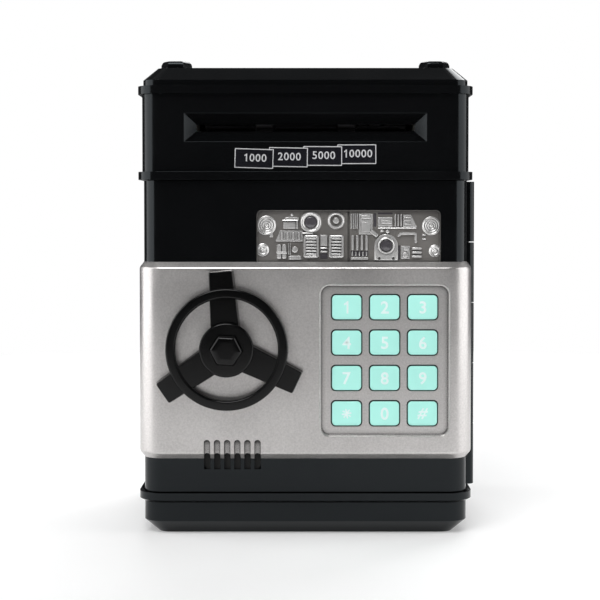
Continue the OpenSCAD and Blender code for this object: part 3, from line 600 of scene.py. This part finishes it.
PANEL_LOW, PANEL_HIGH = corner("front_panel"), corner("front_panel", True)
PANEL_Y = PANEL_LOW.y
PANEL_T = 2.4  # thickness of the silver panel over the door face
DOOR_Y = PANEL_Y + PANEL_T
HUB_LOW, HUB_HIGH = corner("hub_cap"), corner("hub_cap", True)
WHEEL_X, WHEEL_Z = (HUB_LOW.x + HUB_HIGH.x) / 2, (HUB_LOW.z + HUB_HIGH.z) / 2
WHEEL_FRONT, WHEEL_REAR = corner("handwheel").y, corner("handwheel", True).y
LENS_LOW, LENS_HIGH = corner("window_lens"), corner("window_lens", True)
LABEL_Y = corner("denomination_label", True).y


# ---- front panel ----

SIDE_T = 1.8                                             # thickness of the panel over the door's sides
BEND_R = 8.0                                             # inner radius of its two upright bends
TRAY_X, TRAY_Z, TRAY_W, TRAY_H = 31.7, 70.4, 51.0, 60.0  # keypad recess
TRAY_DEPTH, TRAY_LIP = 1.6, 0.65
KEY_NAMES = ["1", "2", "3", "4", "5", "6", "7", "8", "9", "star", "0", "hash"]
KEY_BOXES = {name: (corner("key_" + name), corner("key_" + name, True)) for name in KEY_NAMES}
KEY_SPOTS = [((low.x + high.x) / 2, (low.z + high.z) / 2) for low, high in KEY_BOXES.values()]
HOLE_W, HOLE_H = 12.7, 10.7                              # key holes
VENT_X = [-29.3 + 4.05 * (i - 2.5) for i in range(6)]
VENT_W, VENT_FOOT = 2.6, 25.0
VENT_CUTS = ((1.5, 38.6), (3.4, 33.1))                   # depth and top of the groove, then of the slot
BORE_R = 4.1                                             # hole for the handwheel's spindle


def wrap_ring(z, inset):
    """The panel's C-shaped section at height z, its outer face moved in by inset."""
    rear = PANEL_HIGH.y
    inner_x = PANEL_HIGH.x - SIDE_T
    part = min(inset / PANEL_T, 0.99)
    half_x = PANEL_HIGH.x - SIDE_T * part
    front = -PANEL_LOW.y - PANEL_T * part
    r = BEND_R + SIDE_T * (1 - part)
    left, ahead, right = math.pi, 1.5 * math.pi, TAU
    ring = [(-half_x, rear)]
    ring += arc(-half_x + r, -front + r, r, left, ahead, 14)
    ring += arc(half_x - r, -front + r, r, ahead, right, 14)
    ring += [(half_x, rear), (inner_x, rear)]
    ring += reversed(arc(inner_x - BEND_R, DOOR_Y + BEND_R, BEND_R, ahead, right, 14))
    ring += reversed(arc(-inner_x + BEND_R, DOOR_Y + BEND_R, BEND_R, left, ahead, 14))
    ring += [(-inner_x, rear)]
    return [(x, y, z) for x, y in ring]


def panel_cut(outline, rear, **edges):
    """A tool that cuts from in front of the panel back to rear."""
    return slab("t", outline, PANEL_Y - 2, rear, front=0, **edges)


def vent_cuts(depth, top):
    """Round-topped cuts at the foot of the panel, all of one depth."""
    half = VENT_W / 2
    cuts = []
    for x in VENT_X:
        corners = [(x - half, VENT_FOOT), (x + half, VENT_FOOT), (x + half, top), (x - half, top)]
        cuts.append(panel_cut(rounded(corners, [0, 0, 1.25, 1.25]), PANEL_Y + depth))
    return joined("vents", cuts)


def front_panel():
    """The silver panel: soft 45 degree edges above and below, a keypad recess, key holes and vents."""
    low, high = PANEL_LOW.z, PANEL_HIGH.z
    edge = [(2.38, low), (0, low + PANEL_T), (0, high - PANEL_T), (2.38, high)]
    edge = rounded_path(edge, [0, 1.6, 1.6, 0], 6)
    panel = rings_object("front_panel_skin", [wrap_ring(z, inset) for inset, z in edge])
    lip = box2d(TRAY_W + 2 * TRAY_LIP, TRAY_H + 2 * TRAY_LIP, 4.1, TRAY_X, TRAY_Z, 8)
    tray = box2d(TRAY_W, TRAY_H, 3.5, TRAY_X, TRAY_Z, 8)
    holes = [box2d(HOLE_W, HOLE_H, 1.9, x, z) for x, z in KEY_SPOTS]
    combined(panel, [panel_cut(lip, PANEL_Y + TRAY_LIP, back=TRAY_LIP, steps=4)])
    combined(panel, [panel_cut(tray, PANEL_Y + TRAY_DEPTH, back=0.25)])
    combined(panel, [joined("holes", [panel_cut(hole, DOOR_Y + 1) for hole in holes])])
    for depth, top in VENT_CUTS:
        combined(panel, [vent_cuts(depth, top)])
    combined(panel, [panel_cut(circle(BORE_R, WHEEL_X, WHEEL_Z), DOOR_Y + 1)])
    return piece(panel, "door", SILVER, ["front_panel"], angle=30, width=0.3, segments=3)


front_panel()


# ---- keys ----

KEY_W, KEY_H = 11.7, 9.7
HASH_SLANT = 0.28  # sideways lean of the hash figure for each unit of height
FIGURE_OUT = 0.01  # how far a figure stands out of its key
FIGURES = {"star": "*", "hash": "#"}


def star_figure(x, z, face_y):
    """Four crossed bars, each a hair behind the last so that no two faces lie together."""
    marks = []
    for k in range(4):
        ray = box2d(4.0, 0.62, 0.25, x, z, 3)
        ray = slab("r", ray, face_y - FIGURE_OUT + 0.006 * k, face_y + 0.1, front=0.03)
        marks.append(turned_about(ray, (x, 0, z), 45 * k + 10))
    return joined("key_star_figure", marks)


def key(name):
    """A key with a softly crowned face, a flange behind the panel and a raised figure."""
    low, high = KEY_BOXES[name]
    x, z = (low.x + high.x) / 2, (low.z + high.z) / 2
    face_y, flange_y = low.y, DOOR_Y + 0.2
    ring = turned(box2d(KEY_W, KEY_H, 1.6, x, z, 6), True)
    half_w, half_h = KEY_W / 2, KEY_H / 2
    crown, edge_r, edge_y = [(5.0, 0.0), (3.4, 0.03), (2.0, 0.1), (1.3, 0.19)], 0.75, 0.25
    edge = [(edge_r * (1 - math.sin(a)), edge_y + edge_r * (1 - math.cos(a)))
            for a in (math.radians(20 * k) for k in range(1, 5))]
    levels = crown + edge + [(0, 1.1), (0, flange_y + 0.3 - face_y)]

    def shrunk(inset):
        """The outline pulled in to the middle by inset on each side."""
        fx, fz = (half_w - inset * 0.97) / half_w, (half_h - inset * 0.97) / half_h
        return [(x + (u - x) * max(fx, 0.02), z + (v - z) * max(fz, 0.02)) for u, v in ring]

    cap = rings_object("k", [[(u, face_y + depth, v) for u, v in shrunk(inset)] for inset, depth in levels])
    flange = slab("k", box2d(13.4, 11.4, 1.6, x, z), flange_y, flange_y + 0.9, front=0.15)
    stem = slab("k", circle(2, x, z, 24), flange_y + 0.8, high.y, front=0)
    obj = joined(f"key_{name}_cap", [cap, flange, stem])
    piece(obj, f"key_{name}_cap", MINT, ["key_" + name], angle=50)
    if name == "star":
        obj = star_figure(x, z, face_y)
    else:
        height = 4.4 if name == "hash" else 5.0
        depth = 0.12 + FIGURE_OUT
        figure = FIGURES.get(name, name)
        obj = lettering(f"key_{name}_figure", figure, height, (x, z), face_y + 0.12, depth=depth, bold=0.02)
    if name == "hash":
        for v in obj.data.vertices:
            v.co.x += HASH_SLANT * (v.co.z - z * MM)
    piece(obj, f"key_{name}_cap", NUMERAL)


for key_name in KEY_NAMES:
    key(key_name)


# ---- handwheel ----

SPOKE_TURN = 4.5  # how far the wheel's first spoke leans to the left, in degrees
HEX_R = 6.75      # half width of the hub's hex cap, on its corners


def spoke(k):
    """One drafted spoke, from the hub out past the ring."""
    levels = []
    for draft, y in ((0.0, WHEEL_REAR - 0.2), (0.7, WHEEL_REAR - 4.6), (1.1, WHEEL_REAR - 5.0)):
        root, tip, out = 6.3 - draft * 0.6, 5.0 - draft * 0.6, 31.3 - draft * 0.5
        corners = [(-root, 2), (root, 2), (tip, out), (-tip, out)]
        outline = rounded(corners, [0, 0, 0.8, 0.8], 3)
        levels.append([(WHEEL_X + u, y, WHEEL_Z + v) for u, v in outline])
    return turned_about(rings_object("w", levels), (WHEEL_X, 0, WHEEL_Z), SPOKE_TURN + 120 * k)


def handwheel():
    """Ring, three spokes and a stepped hub in one moulding."""
    centre = (WHEEL_X, 0, WHEEL_Z)
    rear, front = WHEEL_REAR - 0.6, WHEEL_REAR - 6.0
    section = rounded([(20.5, rear), (20.3, front), (24.2, front), (24.5, rear)], 0.8, 5)
    ring = lathe("w", section, centre, n=96, closed=True)
    hub_profile = [(0, WHEEL_REAR), (10.3, WHEEL_REAR), (10.9, WHEEL_FRONT), (0, WHEEL_FRONT)]
    hub = lathe("w", rounded_path(hub_profile, [0, 0.4, 0.9, 0], 5), centre, n=64)
    for part in [spoke(k) for k in range(3)] + [hub]:
        combined(ring, [part], "UNION")
    ring.name = "handwheel_moulding"
    return piece(ring, "wheel", WHEEL_BLACK, ["handwheel"], angle=28, width=0.45, segments=3)


def hex_ring(radius, inset, turn, steps=8):
    """A hexagon of this radius moved in by inset, its corners clipped round where the crown starts."""
    r = radius - inset
    round_r = r * 0.985
    points = []
    for i in range(6):
        a0, a1 = (math.radians(60 * (i + k) + turn) for k in (0, 1))
        start, end = (Vector((math.cos(a), math.sin(a))) for a in (a0, a1))
        for s in range(steps):
            flat = start.lerp(end, s / steps) * r
            if inset > 0.2 and flat.length > round_r:
                flat *= round_r / flat.length
            points.append(flat)
    return points


def hex_head(name, centre, radius, depth, turn, plane, drop=1.1):
    """A hexagon head with a rounded crown. The crown is at the low end along t."""
    place = PLANES[plane]
    crown = [(radius * 0.5, 0.0), (1.6, 0.02), (1.1, 0.12), (0.6, 0.42), (0.25, drop * 0.8)]
    levels = []
    for inset, t in crown + [(0, drop + 0.5), (0, depth)]:
        levels.append([Vector(place(p.x, p.y, t)) + Vector(centre) for p in hex_ring(radius, inset, turn)])
    return rings_object(name, levels)


handwheel()
cap = hex_head("hub_hex_cap", (WHEEL_X, HUB_LOW.y, WHEEL_Z), HEX_R, HUB_HIGH.y - HUB_LOW.y, -3, "front")
piece(cap, "wheel", WHEEL_BLACK, ["hub_cap"], angle=24)


# ---- window ----

WINDOW_X, WINDOW_Z = (LENS_LOW.x + LENS_HIGH.x) / 2, (LENS_LOW.z + LENS_HIGH.z) / 2
GROUND_Y = DOOR_Y + 1.7
LAMP_SPOTS = ((2.15, 125.6), (32.4, 116.3))
LAMP_R = 2.6


def raised(outline, out, holes=(), edge=0.3):
    """A raised part of the window's relief, its face out in front of the ground."""
    return slab("m", outline, GROUND_Y - out, GROUND_Y + 0.2, holes=holes, front=edge, steps=2)


def rect(x0, z0, x1, z1, r=0.35):
    """A rectangle between two corners, its own corners rounded by r or as far as there is room."""
    r = min(r, 0.45 * (x1 - x0), 0.45 * (z1 - z0))
    return box2d(x1 - x0, z1 - z0, r, (x0 + x1) / 2, (z0 + z1) / 2, 3)


def ridged_disc(x, z, r):
    """Rings that rise step by step to a small middle button."""
    profile = [(0, GROUND_Y + 0.2), (r, GROUND_Y + 0.2), (r, GROUND_Y - 0.35)]
    ridges = max(2, round(r / 1.05))
    for k in range(ridges * 6 + 1):
        at = 1 - k / (ridges * 6)
        height = 0.55 + 0.45 * (1 - at) + 0.17 * math.cos(k * TAU / 6 + math.pi)
        profile.append((r * at * 0.96, GROUND_Y - height))
    return lathe("m", profile, (x, 0, z), n=48)


def ring_foot(x, z, r, hole, out=1.25):
    """A lamp ring: a sloped outer foot, a narrow rim and a sloped throat."""
    rear, face = GROUND_Y + 0.2, GROUND_Y - out
    foot = [(r + 0.25, rear), (r + 0.2, GROUND_Y - 0.25), (r - 0.25, face + 0.15)]
    rim = [(r - 0.5, face), (r - 0.85, face + 0.05)]
    throat = [(hole + 0.15, face + 0.55), (hole, face + 0.8), (hole, rear)]
    return lathe("m", foot + rim + throat, (x, 0, z), n=64, closed=True)


def bars(x0, z0, x1, z1, count, upright, out=0.9, fill=0.6):
    """A row of round-topped bars, side by side or one above another."""
    parts = []
    for k in range(count):
        low, high = (x0, x1) if upright else (z0, z1)
        step = (high - low) / count
        a = low + step * (k + (1 - fill) / 2)
        span = (a, z0, a + step * fill, z1) if upright else (x0, a, x1, a + step * fill)
        parts.append(raised(rect(*span), out, edge=min(0.3, step * fill * 0.35)))
    return parts


PLATES = [  # x0, z0, x1, z1, height of the face
    (-8.9, 123.0, -3.7, 126.0, 0.45), (-3.7, 122.9, -2.9, 126.3, 1.0), (-1.4, 120.9, 3.2, 121.6, 0.8),
    (5.9, 116.2, 8.9, 120.6, 0.7), (5.9, 115.0, 8.9, 115.6, 0.5), (5.9, 113.5, 8.9, 114.2, 0.5),
    (21.3, 120.7, 27.0, 129.1, 0.6), (22.3, 126.9, 26.2, 128.4, 1.0), (22.3, 121.6, 26.2, 125.8, 0.8),
    (29.0, 123.9, 35.0, 127.7, 0.7), (30.2, 124.9, 34.9, 126.6, 1.05), (29.0, 123.0, 44.6, 123.6, 0.7),
    (38.3, 110.9, 42.0, 116.2, 0.5), (39.4, 114.2, 41.6, 115.6, 0.8), (18.2, 110.6, 25.2, 111.7, 0.6),
    (-14.4, 119.6, -12.9, 121.4, 0.5), (-6.8, 110.6, -1.6, 112.2, 0.7), (30.0, 121.7, 31.4, 122.7, 0.7),
    (46.8, 118.6, 48.4, 119.3, 0.6), (46.8, 120.2, 48.4, 120.9, 0.6), (-9.3, 126.1, -2.8, 126.7, 1.1),
]
BAR_ROWS = [  # x0, z0, x1, z1, number of bars, upright, height, share of the pitch that is bar
    (-10.6, 118.6, -1.4, 121.8, 4, True, 1.0, 0.45), (18.0, 123.0, 21.1, 129.2, 4, True, 0.95, 0.6),
    (18.0, 114.4, 25.4, 120.4, 4, True, 1.1, 0.55), (18.1, 112.1, 25.2, 113.9, 5, True, 0.6, 0.4),
    (35.4, 123.9, 38.9, 129.0, 3, True, 1.0, 0.5), (42.6, 111.2, 46.6, 116.0, 3, False, 1.15, 0.6),
    (39.5, 124.2, 42.4, 128.2, 3, False, 1.0, 0.35), (-7.0, 112.6, -5.7, 117.4, 2, True, 0.8, 0.5),
]
PAINTED_SHADE_PATCHES = [  # x0, z0, x1, z1 of dark sheets painted as shade over the deep recesses
    (-8.5, 123.4, -4.1, 125.4), (5.9, 114.3, 8.9, 114.9), (5.9, 111.0, 8.9, 113.2),
    (29.0, 128.8, 35.0, 129.5), (37.25, 110.6, 38.0, 116.4), (-1.2, 121.7, 1.6, 122.1),
    (27.3, 123.8, 28.4, 129.2), (18.1, 112.0, 25.2, 114.2),
]


def louvre_block(x0, x1):
    """A rounded frame round six slots."""
    z0, z1 = 111.4, 120.5
    frame = raised(rect(x0, z0, x1, z1, 0.9), 1.1, [rect(x0 + 1.0, z0 + 0.9, x1 - 1.0, z1 - 0.9, 0.3)])
    return [frame] + bars(x0 + 0.8, z0 + 0.8, x1 - 0.8, z1 - 0.8, 6, False, 0.95, 0.62)


def window_relief():
    """The moulded machine-works relief behind the window opening."""
    parts = [ridged_disc(*spot) for spot in ((-15.6, 124.4, 3.9), (50.45, 124.2, 3.75), (-17.1, 114.6, 2.6),
                                             (51.9, 114.2, 2.45))]
    parts += [ring_foot(*LAMP_SPOTS[0], 4.2, LAMP_R), ring_foot(12.3, 126.3, 3.3, 2.1, 1.0)]
    parts.append(raised(circle(1.35, 12.3, 126.3, 28), 0.9, edge=0.5))
    parts.append(ring_foot(*LAMP_SPOTS[1], 3.5, LAMP_R, 1.35))
    for x0, z0, x1, z1, out in PLATES:
        parts.append(raised(rect(x0, z0, x1, z1), out))
    for x0, z0, x1, z1, count, upright, out, fill in BAR_ROWS:
        parts += bars(x0, z0, x1, z1, count, upright, out, fill)
    parts += louvre_block(-0.8, 5.4) + louvre_block(9.4, 15.4)
    parts.append(raised([(-9.4, 126.1), (-2.6, 126.1), (-2.6, 127.7), (-7.6, 127.7)], 0.6))
    parts.append(raised(circle(0.6, -5.4, 128.5, 16), 0.9))
    parts.append(raised([(-12.1, 117.9), (-0.9, 117.9), (-0.9, 122.4), (-10.1, 122.4)], 0.55))
    parts.append(raised([(39.1, 123.7), (44.8, 123.7), (42.3, 128.8), (39.1, 128.8)], 0.7))
    for x in (-10.5, -8.5):
        parts.append(raised(rect(x - 1.05, 110.8, x + 1.05, 116.9, 0.9), 1.25, edge=0.8))
    parts.append(raised(rect(-11.7, 112.9, -7.3, 113.9, 0.4), 1.35))
    for x, z, r in ((-4.25, 114.7, 1.3), (40.0, 112.4, 1.2), (32.9, 121.9, 0.8)):
        parts.append(raised(circle(r, x, z, 24), 1.1, edge=0.5))
    arch = [(27.6, 110.4), (37.1, 110.4)] + arc(32.4, 116.2, 4.75, 0, math.pi, 20)
    eyes = [circle(0.4, x, 111.3, 12) for x in (29.6, 35.3)]
    parts.append(raised(arch, 0.75, [circle(LAMP_R + 0.3, *LAMP_SPOTS[1], 40)] + eyes))
    pipe = [(37.4, 119.7), (38.4, 120.6), (43.7, 120.6), (43.7, 117.3),
            (44.7, 117.3), (44.7, 121.5), (38.0, 121.5), (36.8, 120.4)]
    parts.append(raised(rounded(pipe, [0.35, 0.2, 0.2, 0.35, 0.35, 0.5, 0.5, 0.35], 3), 0.95, edge=0.25))
    parts.append(turned_about(raised(rect(25.7, 120.4, 29.3, 122.0, 0.5), 1.1), (27.5, 0, 121.2), -38))
    return joined("window_relief", parts)


def window_ground(lamp_holes):
    """The ground plate with its raised border and its dividing groove, and the flange behind the door."""
    lens_w, lens_h = LENS_HIGH.x - LENS_LOW.x, LENS_HIGH.z - LENS_LOW.z
    outline = box2d(lens_w - 9.1, lens_h - 2.5, 2, WINDOW_X, WINDOW_Z)
    inner = turned(moved_in(turned(outline, True), 0.45), False)
    plate = slab("m", outline, GROUND_Y, DOOR_Y + 2.4, holes=lamp_holes, front=0.2)
    rim = slab("m", outline, GROUND_Y - 0.5, GROUND_Y + 0.1, holes=[inner], front=0.15)
    rear = box2d(lens_w, lens_h, 2, WINDOW_X, WINDOW_Z)
    flange = slab("m", rear, DOOR_Y + 2.05, DOOR_Y + 2.9, holes=lamp_holes, front=0.1)
    groove = slab("m", rect(16.9, 100, 17.7, 140), GROUND_Y - 1, GROUND_Y + 0.5, front=0)
    combined(plate, [groove])
    return joined("window_ground", [plate, rim, flange])


def lamp_dome(name, x, z):
    """A flat-topped lamp with a rounded shoulder."""
    shoulder = [(LAMP_R - 0.65 + 0.65 * math.cos(a), DOOR_Y + 2.0 - 1.0 * math.sin(a))
                for a in (k * math.pi / 12 for k in range(7))]
    profile = [(0, DOOR_Y + 0.85)] + [(r * 0.97, y) for r, y in reversed(shoulder)]
    profile += [(LAMP_R - 0.08, DOOR_Y + 2.8), (0, DOOR_Y + 2.8)]
    return lathe(name, profile, (x, 0, z), n=40)


def window():
    """Everything seen through the door's window opening."""
    ground = window_ground([circle(LAMP_R, x, z, 40) for x, z in LAMP_SPOTS])
    piece(ground, "door", GROUND, ["window_lens"], angle=35)
    piece(window_relief(), "door", RELIEF, angle=32)
    # painted shade: thin dark sheets are laid on the ground where deep recesses fall in shadow
    shade_patches = [slab("m", rect(*spot, 0.2), GROUND_Y - 0.06, GROUND_Y + 0.1, front=0.03) for spot in PAINTED_SHADE_PATCHES]
    piece(joined("window_painted_shade", shade_patches), "door", LAMP)
    for i, (x, z) in enumerate(LAMP_SPOTS):
        piece(lamp_dome(f"lamp_dome_{i + 1}", x, z), "door", LAMP)


window()


# ---- label ----

LABEL_VALUES = {"1000": (-20.5, 151.1, -1.8), "2000": (-6.8, 151.6, -1.0),  # x, z and tilt in degrees
                "5000": (6.9, 152.1, -0.3), "10000": (20.5, 152.8, 0.2)}
PLATE_W, PLATE_H, LINE_W, PRINT_OUT = 15.5, 7.8, 0.35, 0.012


def label():
    """Four lapped plates with a pale line round each and a plain value."""
    plates, lines, figures = [], [], []
    for i, (value, (x, z, tilt)) in enumerate(LABEL_VALUES.items()):
        face = LABEL_Y - 0.26 + 0.05 * i
        centre = (x, 0, z)
        plate = slab("l", box2d(PLATE_W - 0.1, PLATE_H - 0.1, 0.2, x, z, 2), face, LABEL_Y, front=0.02)
        inner = box2d(PLATE_W - 2 * LINE_W, PLATE_H - 2 * LINE_W, 0.1, x, z, 2)
        line = box2d(PLATE_W, PLATE_H, 0.2, x, z, 2)
        line = slab("l", line, face - PRINT_OUT, face + 0.02, holes=[inner], front=0)
        plates.append(turned_about(plate, centre, tilt))
        lines.append(turned_about(line, centre, tilt))
        at = (x + 0.4, z + 0.3)
        figures.append(lettering("f", value, 3.1, at, face, depth=PRINT_OUT, bold=0.01, angle=tilt))
    obj = joined("label_plates", plates)
    piece(obj, "case", LABEL, ["denomination_label"])
    piece(joined("label_lines", lines + figures), "case", LABEL_EDGE)


label()


# ---- corner studs ----

STUD_R, STUD_FLAT = 6.25, 5.41  # half widths of a stud, on its corners and on its flats


def corner_studs():
    """Four hex studs, one at each corner of the cap."""
    low, high = corner("corner_studs"), corner("corner_studs", True)
    reach = (high.x - low.x) / 2 - STUD_R, (high.y - low.y) / 2 - STUD_FLAT
    parts = []
    for sx in (-1, 1):
        for sy in (-1, 1):
            head = hex_head("s", (0, 0, 0), STUD_R, 3.1, 0, "top")
            head.data.transform(Matrix.Rotation(math.pi, 4, "X"))
            head.data.transform(Matrix.Translation(Vector((sx * reach[0], sy * reach[1], high.z)) * MM))
            parts.append(head)
    piece(joined("corner_hex_studs", parts), "case", BLACK, ["corner_studs"], angle=24)


corner_studs()


# ---- CAD nodes that keep their shape ----

def kept(node, material, width=0.0, angle=35):
    """Finishes a CAD node: welded, flat faces merged, its edges rounded by width in millimetres."""
    obj = NODES[node]
    dressed(obj, material)
    weld = obj.modifiers.new("weld", "WELD")
    weld.merge_threshold = 0.002 * MM
    if width:
        merge = obj.modifiers.new("merge", "DECIMATE")
        merge.decimate_type = "DISSOLVE"
        merge.angle_limit = math.radians(0.6)
    smoothed(obj, angle, width)


KEPT = {
    "base_tray": (BLACK, 0.5), "battery_cover": (BLACK, 0.2), "main_housing": (BLACK, 0.4),
    "upper_housing": (BLACK, 0.5), "top_cap": (BLACK, 0.6), "door_shell": (BLACK, 0.4),
    "door_liner": (BLACK_INNER, 0.3), "latch_cover": (GREY, 0.4), "coin_chute": (GREY, 0.2),
    "bill_guide": (GREY, 0.1), "feeder_frame": (FRAME_GREY, 0.2), "window_backing": (FILM, 0.1),
    "latch_bolt": (NYLON, 0.1), "feed_gear": (NYLON, 0.0), "idler_gear": (NYLON, 0.0),
    "motor_pinion": (NYLON, 0.0), "latch_pinion": (NYLON, 0.0), "feed_rollers": (RUBBER, 0.3),
    "pinch_rollers": (RUBBER, 0.3), "key_membrane": (MEMBRANE, 0.1), "speaker": (CONE, 0.3),
    "led_board": (BOARD, 0.1), "keypad_board": (BOARD, 0.1), "bill_sensor": (BOARD, 0.1),
    "batteries": (SLEEVE, 0.3), "battery_contacts": (STEEL, 0.0), "battery_cover_screw": (STEEL, 0.05),
    "base_screws": (STEEL, 0.1), "housing_screws": (STEEL, 0.1), "cap_screws": (STEEL, 0.1),
    "board_screws": (STEEL, 0.05), "door_screws": (STEEL, 0.1), "spindle_clips": (STEEL, 0.1),
    "hinge_pin": (DARK_STEEL, 0.1), "feed_shaft": (TURNED, 0.1), "pinch_shaft": (TURNED, 0.1),
    "spindle": (TURNED, 0.1), "lock_plunger": (TURNED, 0.1), "latch_spring": (STEEL, 0.0),
    "feed_motor": (STEEL, 0.3), "lock_solenoid": (STEEL, 0.3),
}
for node_name, (finish_material, edge_mm) in KEPT.items():
    kept(node_name, finish_material, edge_mm)


# ---- stage ----

FLOOR_R = 0.75    # metres
ROOM_GLOW = 0.06  # light that the room gives from all sides
LIGHTS = [  # name, place, aim, size in metres, radiance
    ("side_left", (-0.75, -0.10, 0.30), (0, 0, 0.09), (0.85, 0.75), 2.15),
    ("side_right", (0.75, -0.10, 0.30), (0, 0, 0.09), (0.85, 0.75), 1.85),
    ("top_soft", (0, 0.0, 1.2), (0, 0, 0), (1.3, 1.3), 0.12),
    ("front_high", (-0.3, -1.0, 1.25), (0, 0, 0.05), (0.9, 0.7), 6.3),
    ("rear_high", (0.25, 1.1, 1.25), (0, 0.1, 0), (1.3, 0.9), 5.0),
]


def area_light(name, place, aim, size, power):
    """A rectangular lamp that looks from place to aim."""
    data = bpy.data.lights.new(name, "AREA")
    data.shape = "RECTANGLE"
    data.size, data.size_y = size
    data.energy = power
    light = bpy.data.objects.new(name, data)
    light.location = place
    light.rotation_euler = (Vector(aim) - Vector(place)).to_track_quat("-Z", "Y").to_euler()
    bpy.context.scene.collection.objects.link(light)


def studio():
    """The white floor, the lamps, a white backdrop that only the camera sees, and the camera."""
    floor_mat = plastic("floor_paper", (0.84, 0.84, 0.84), 0.9, tone=0.01, bump=0.02,
                        Emission_Color=(1, 1, 1, 1), Emission_Strength=0.19)
    floor = slab("floor", circle(FLOOR_R / MM, n=128), -2, 0, front=0, plane="top")
    dressed(floor, floor_mat)
    for name, place, aim, size, radiance in LIGHTS:
        area_light(name, place, aim, size, radiance * math.pi * size[0] * size[1])
    world = bpy.data.worlds.new("studio")
    world.use_nodes = True
    nodes, links = world.node_tree.nodes, world.node_tree.links
    backdrop = nodes["Background"]
    backdrop.inputs["Color"].default_value = (1, 1, 1, 1)
    backdrop.inputs["Strength"].default_value = 1.0
    room = nodes.new("ShaderNodeBackground")
    room.inputs["Color"].default_value = (0.95, 0.97, 1.0, 1)
    room.inputs["Strength"].default_value = ROOM_GLOW
    path = nodes.new("ShaderNodeLightPath")
    mix = nodes.new("ShaderNodeMixShader")
    links.new(path.outputs["Is Camera Ray"], mix.inputs[0])
    links.new(room.outputs[0], mix.inputs[1])
    links.new(backdrop.outputs[0], mix.inputs[2])
    links.new(mix.outputs[0], nodes["World Output"].inputs["Surface"])
    scene = bpy.context.scene
    scene.world = world
    scene.view_settings.view_transform = "Standard"
    data = bpy.data.cameras.new("camera")
    data.lens = 90
    data.shift_x, data.shift_y = -0.009, -0.07
    camera = bpy.data.objects.new("camera", data)
    camera.location = (0, -0.6545, 0.130)
    camera.rotation_euler = (math.radians(90 - 1.78), 0, 0)
    scene.collection.objects.link(camera)
    scene.camera = camera


studio()
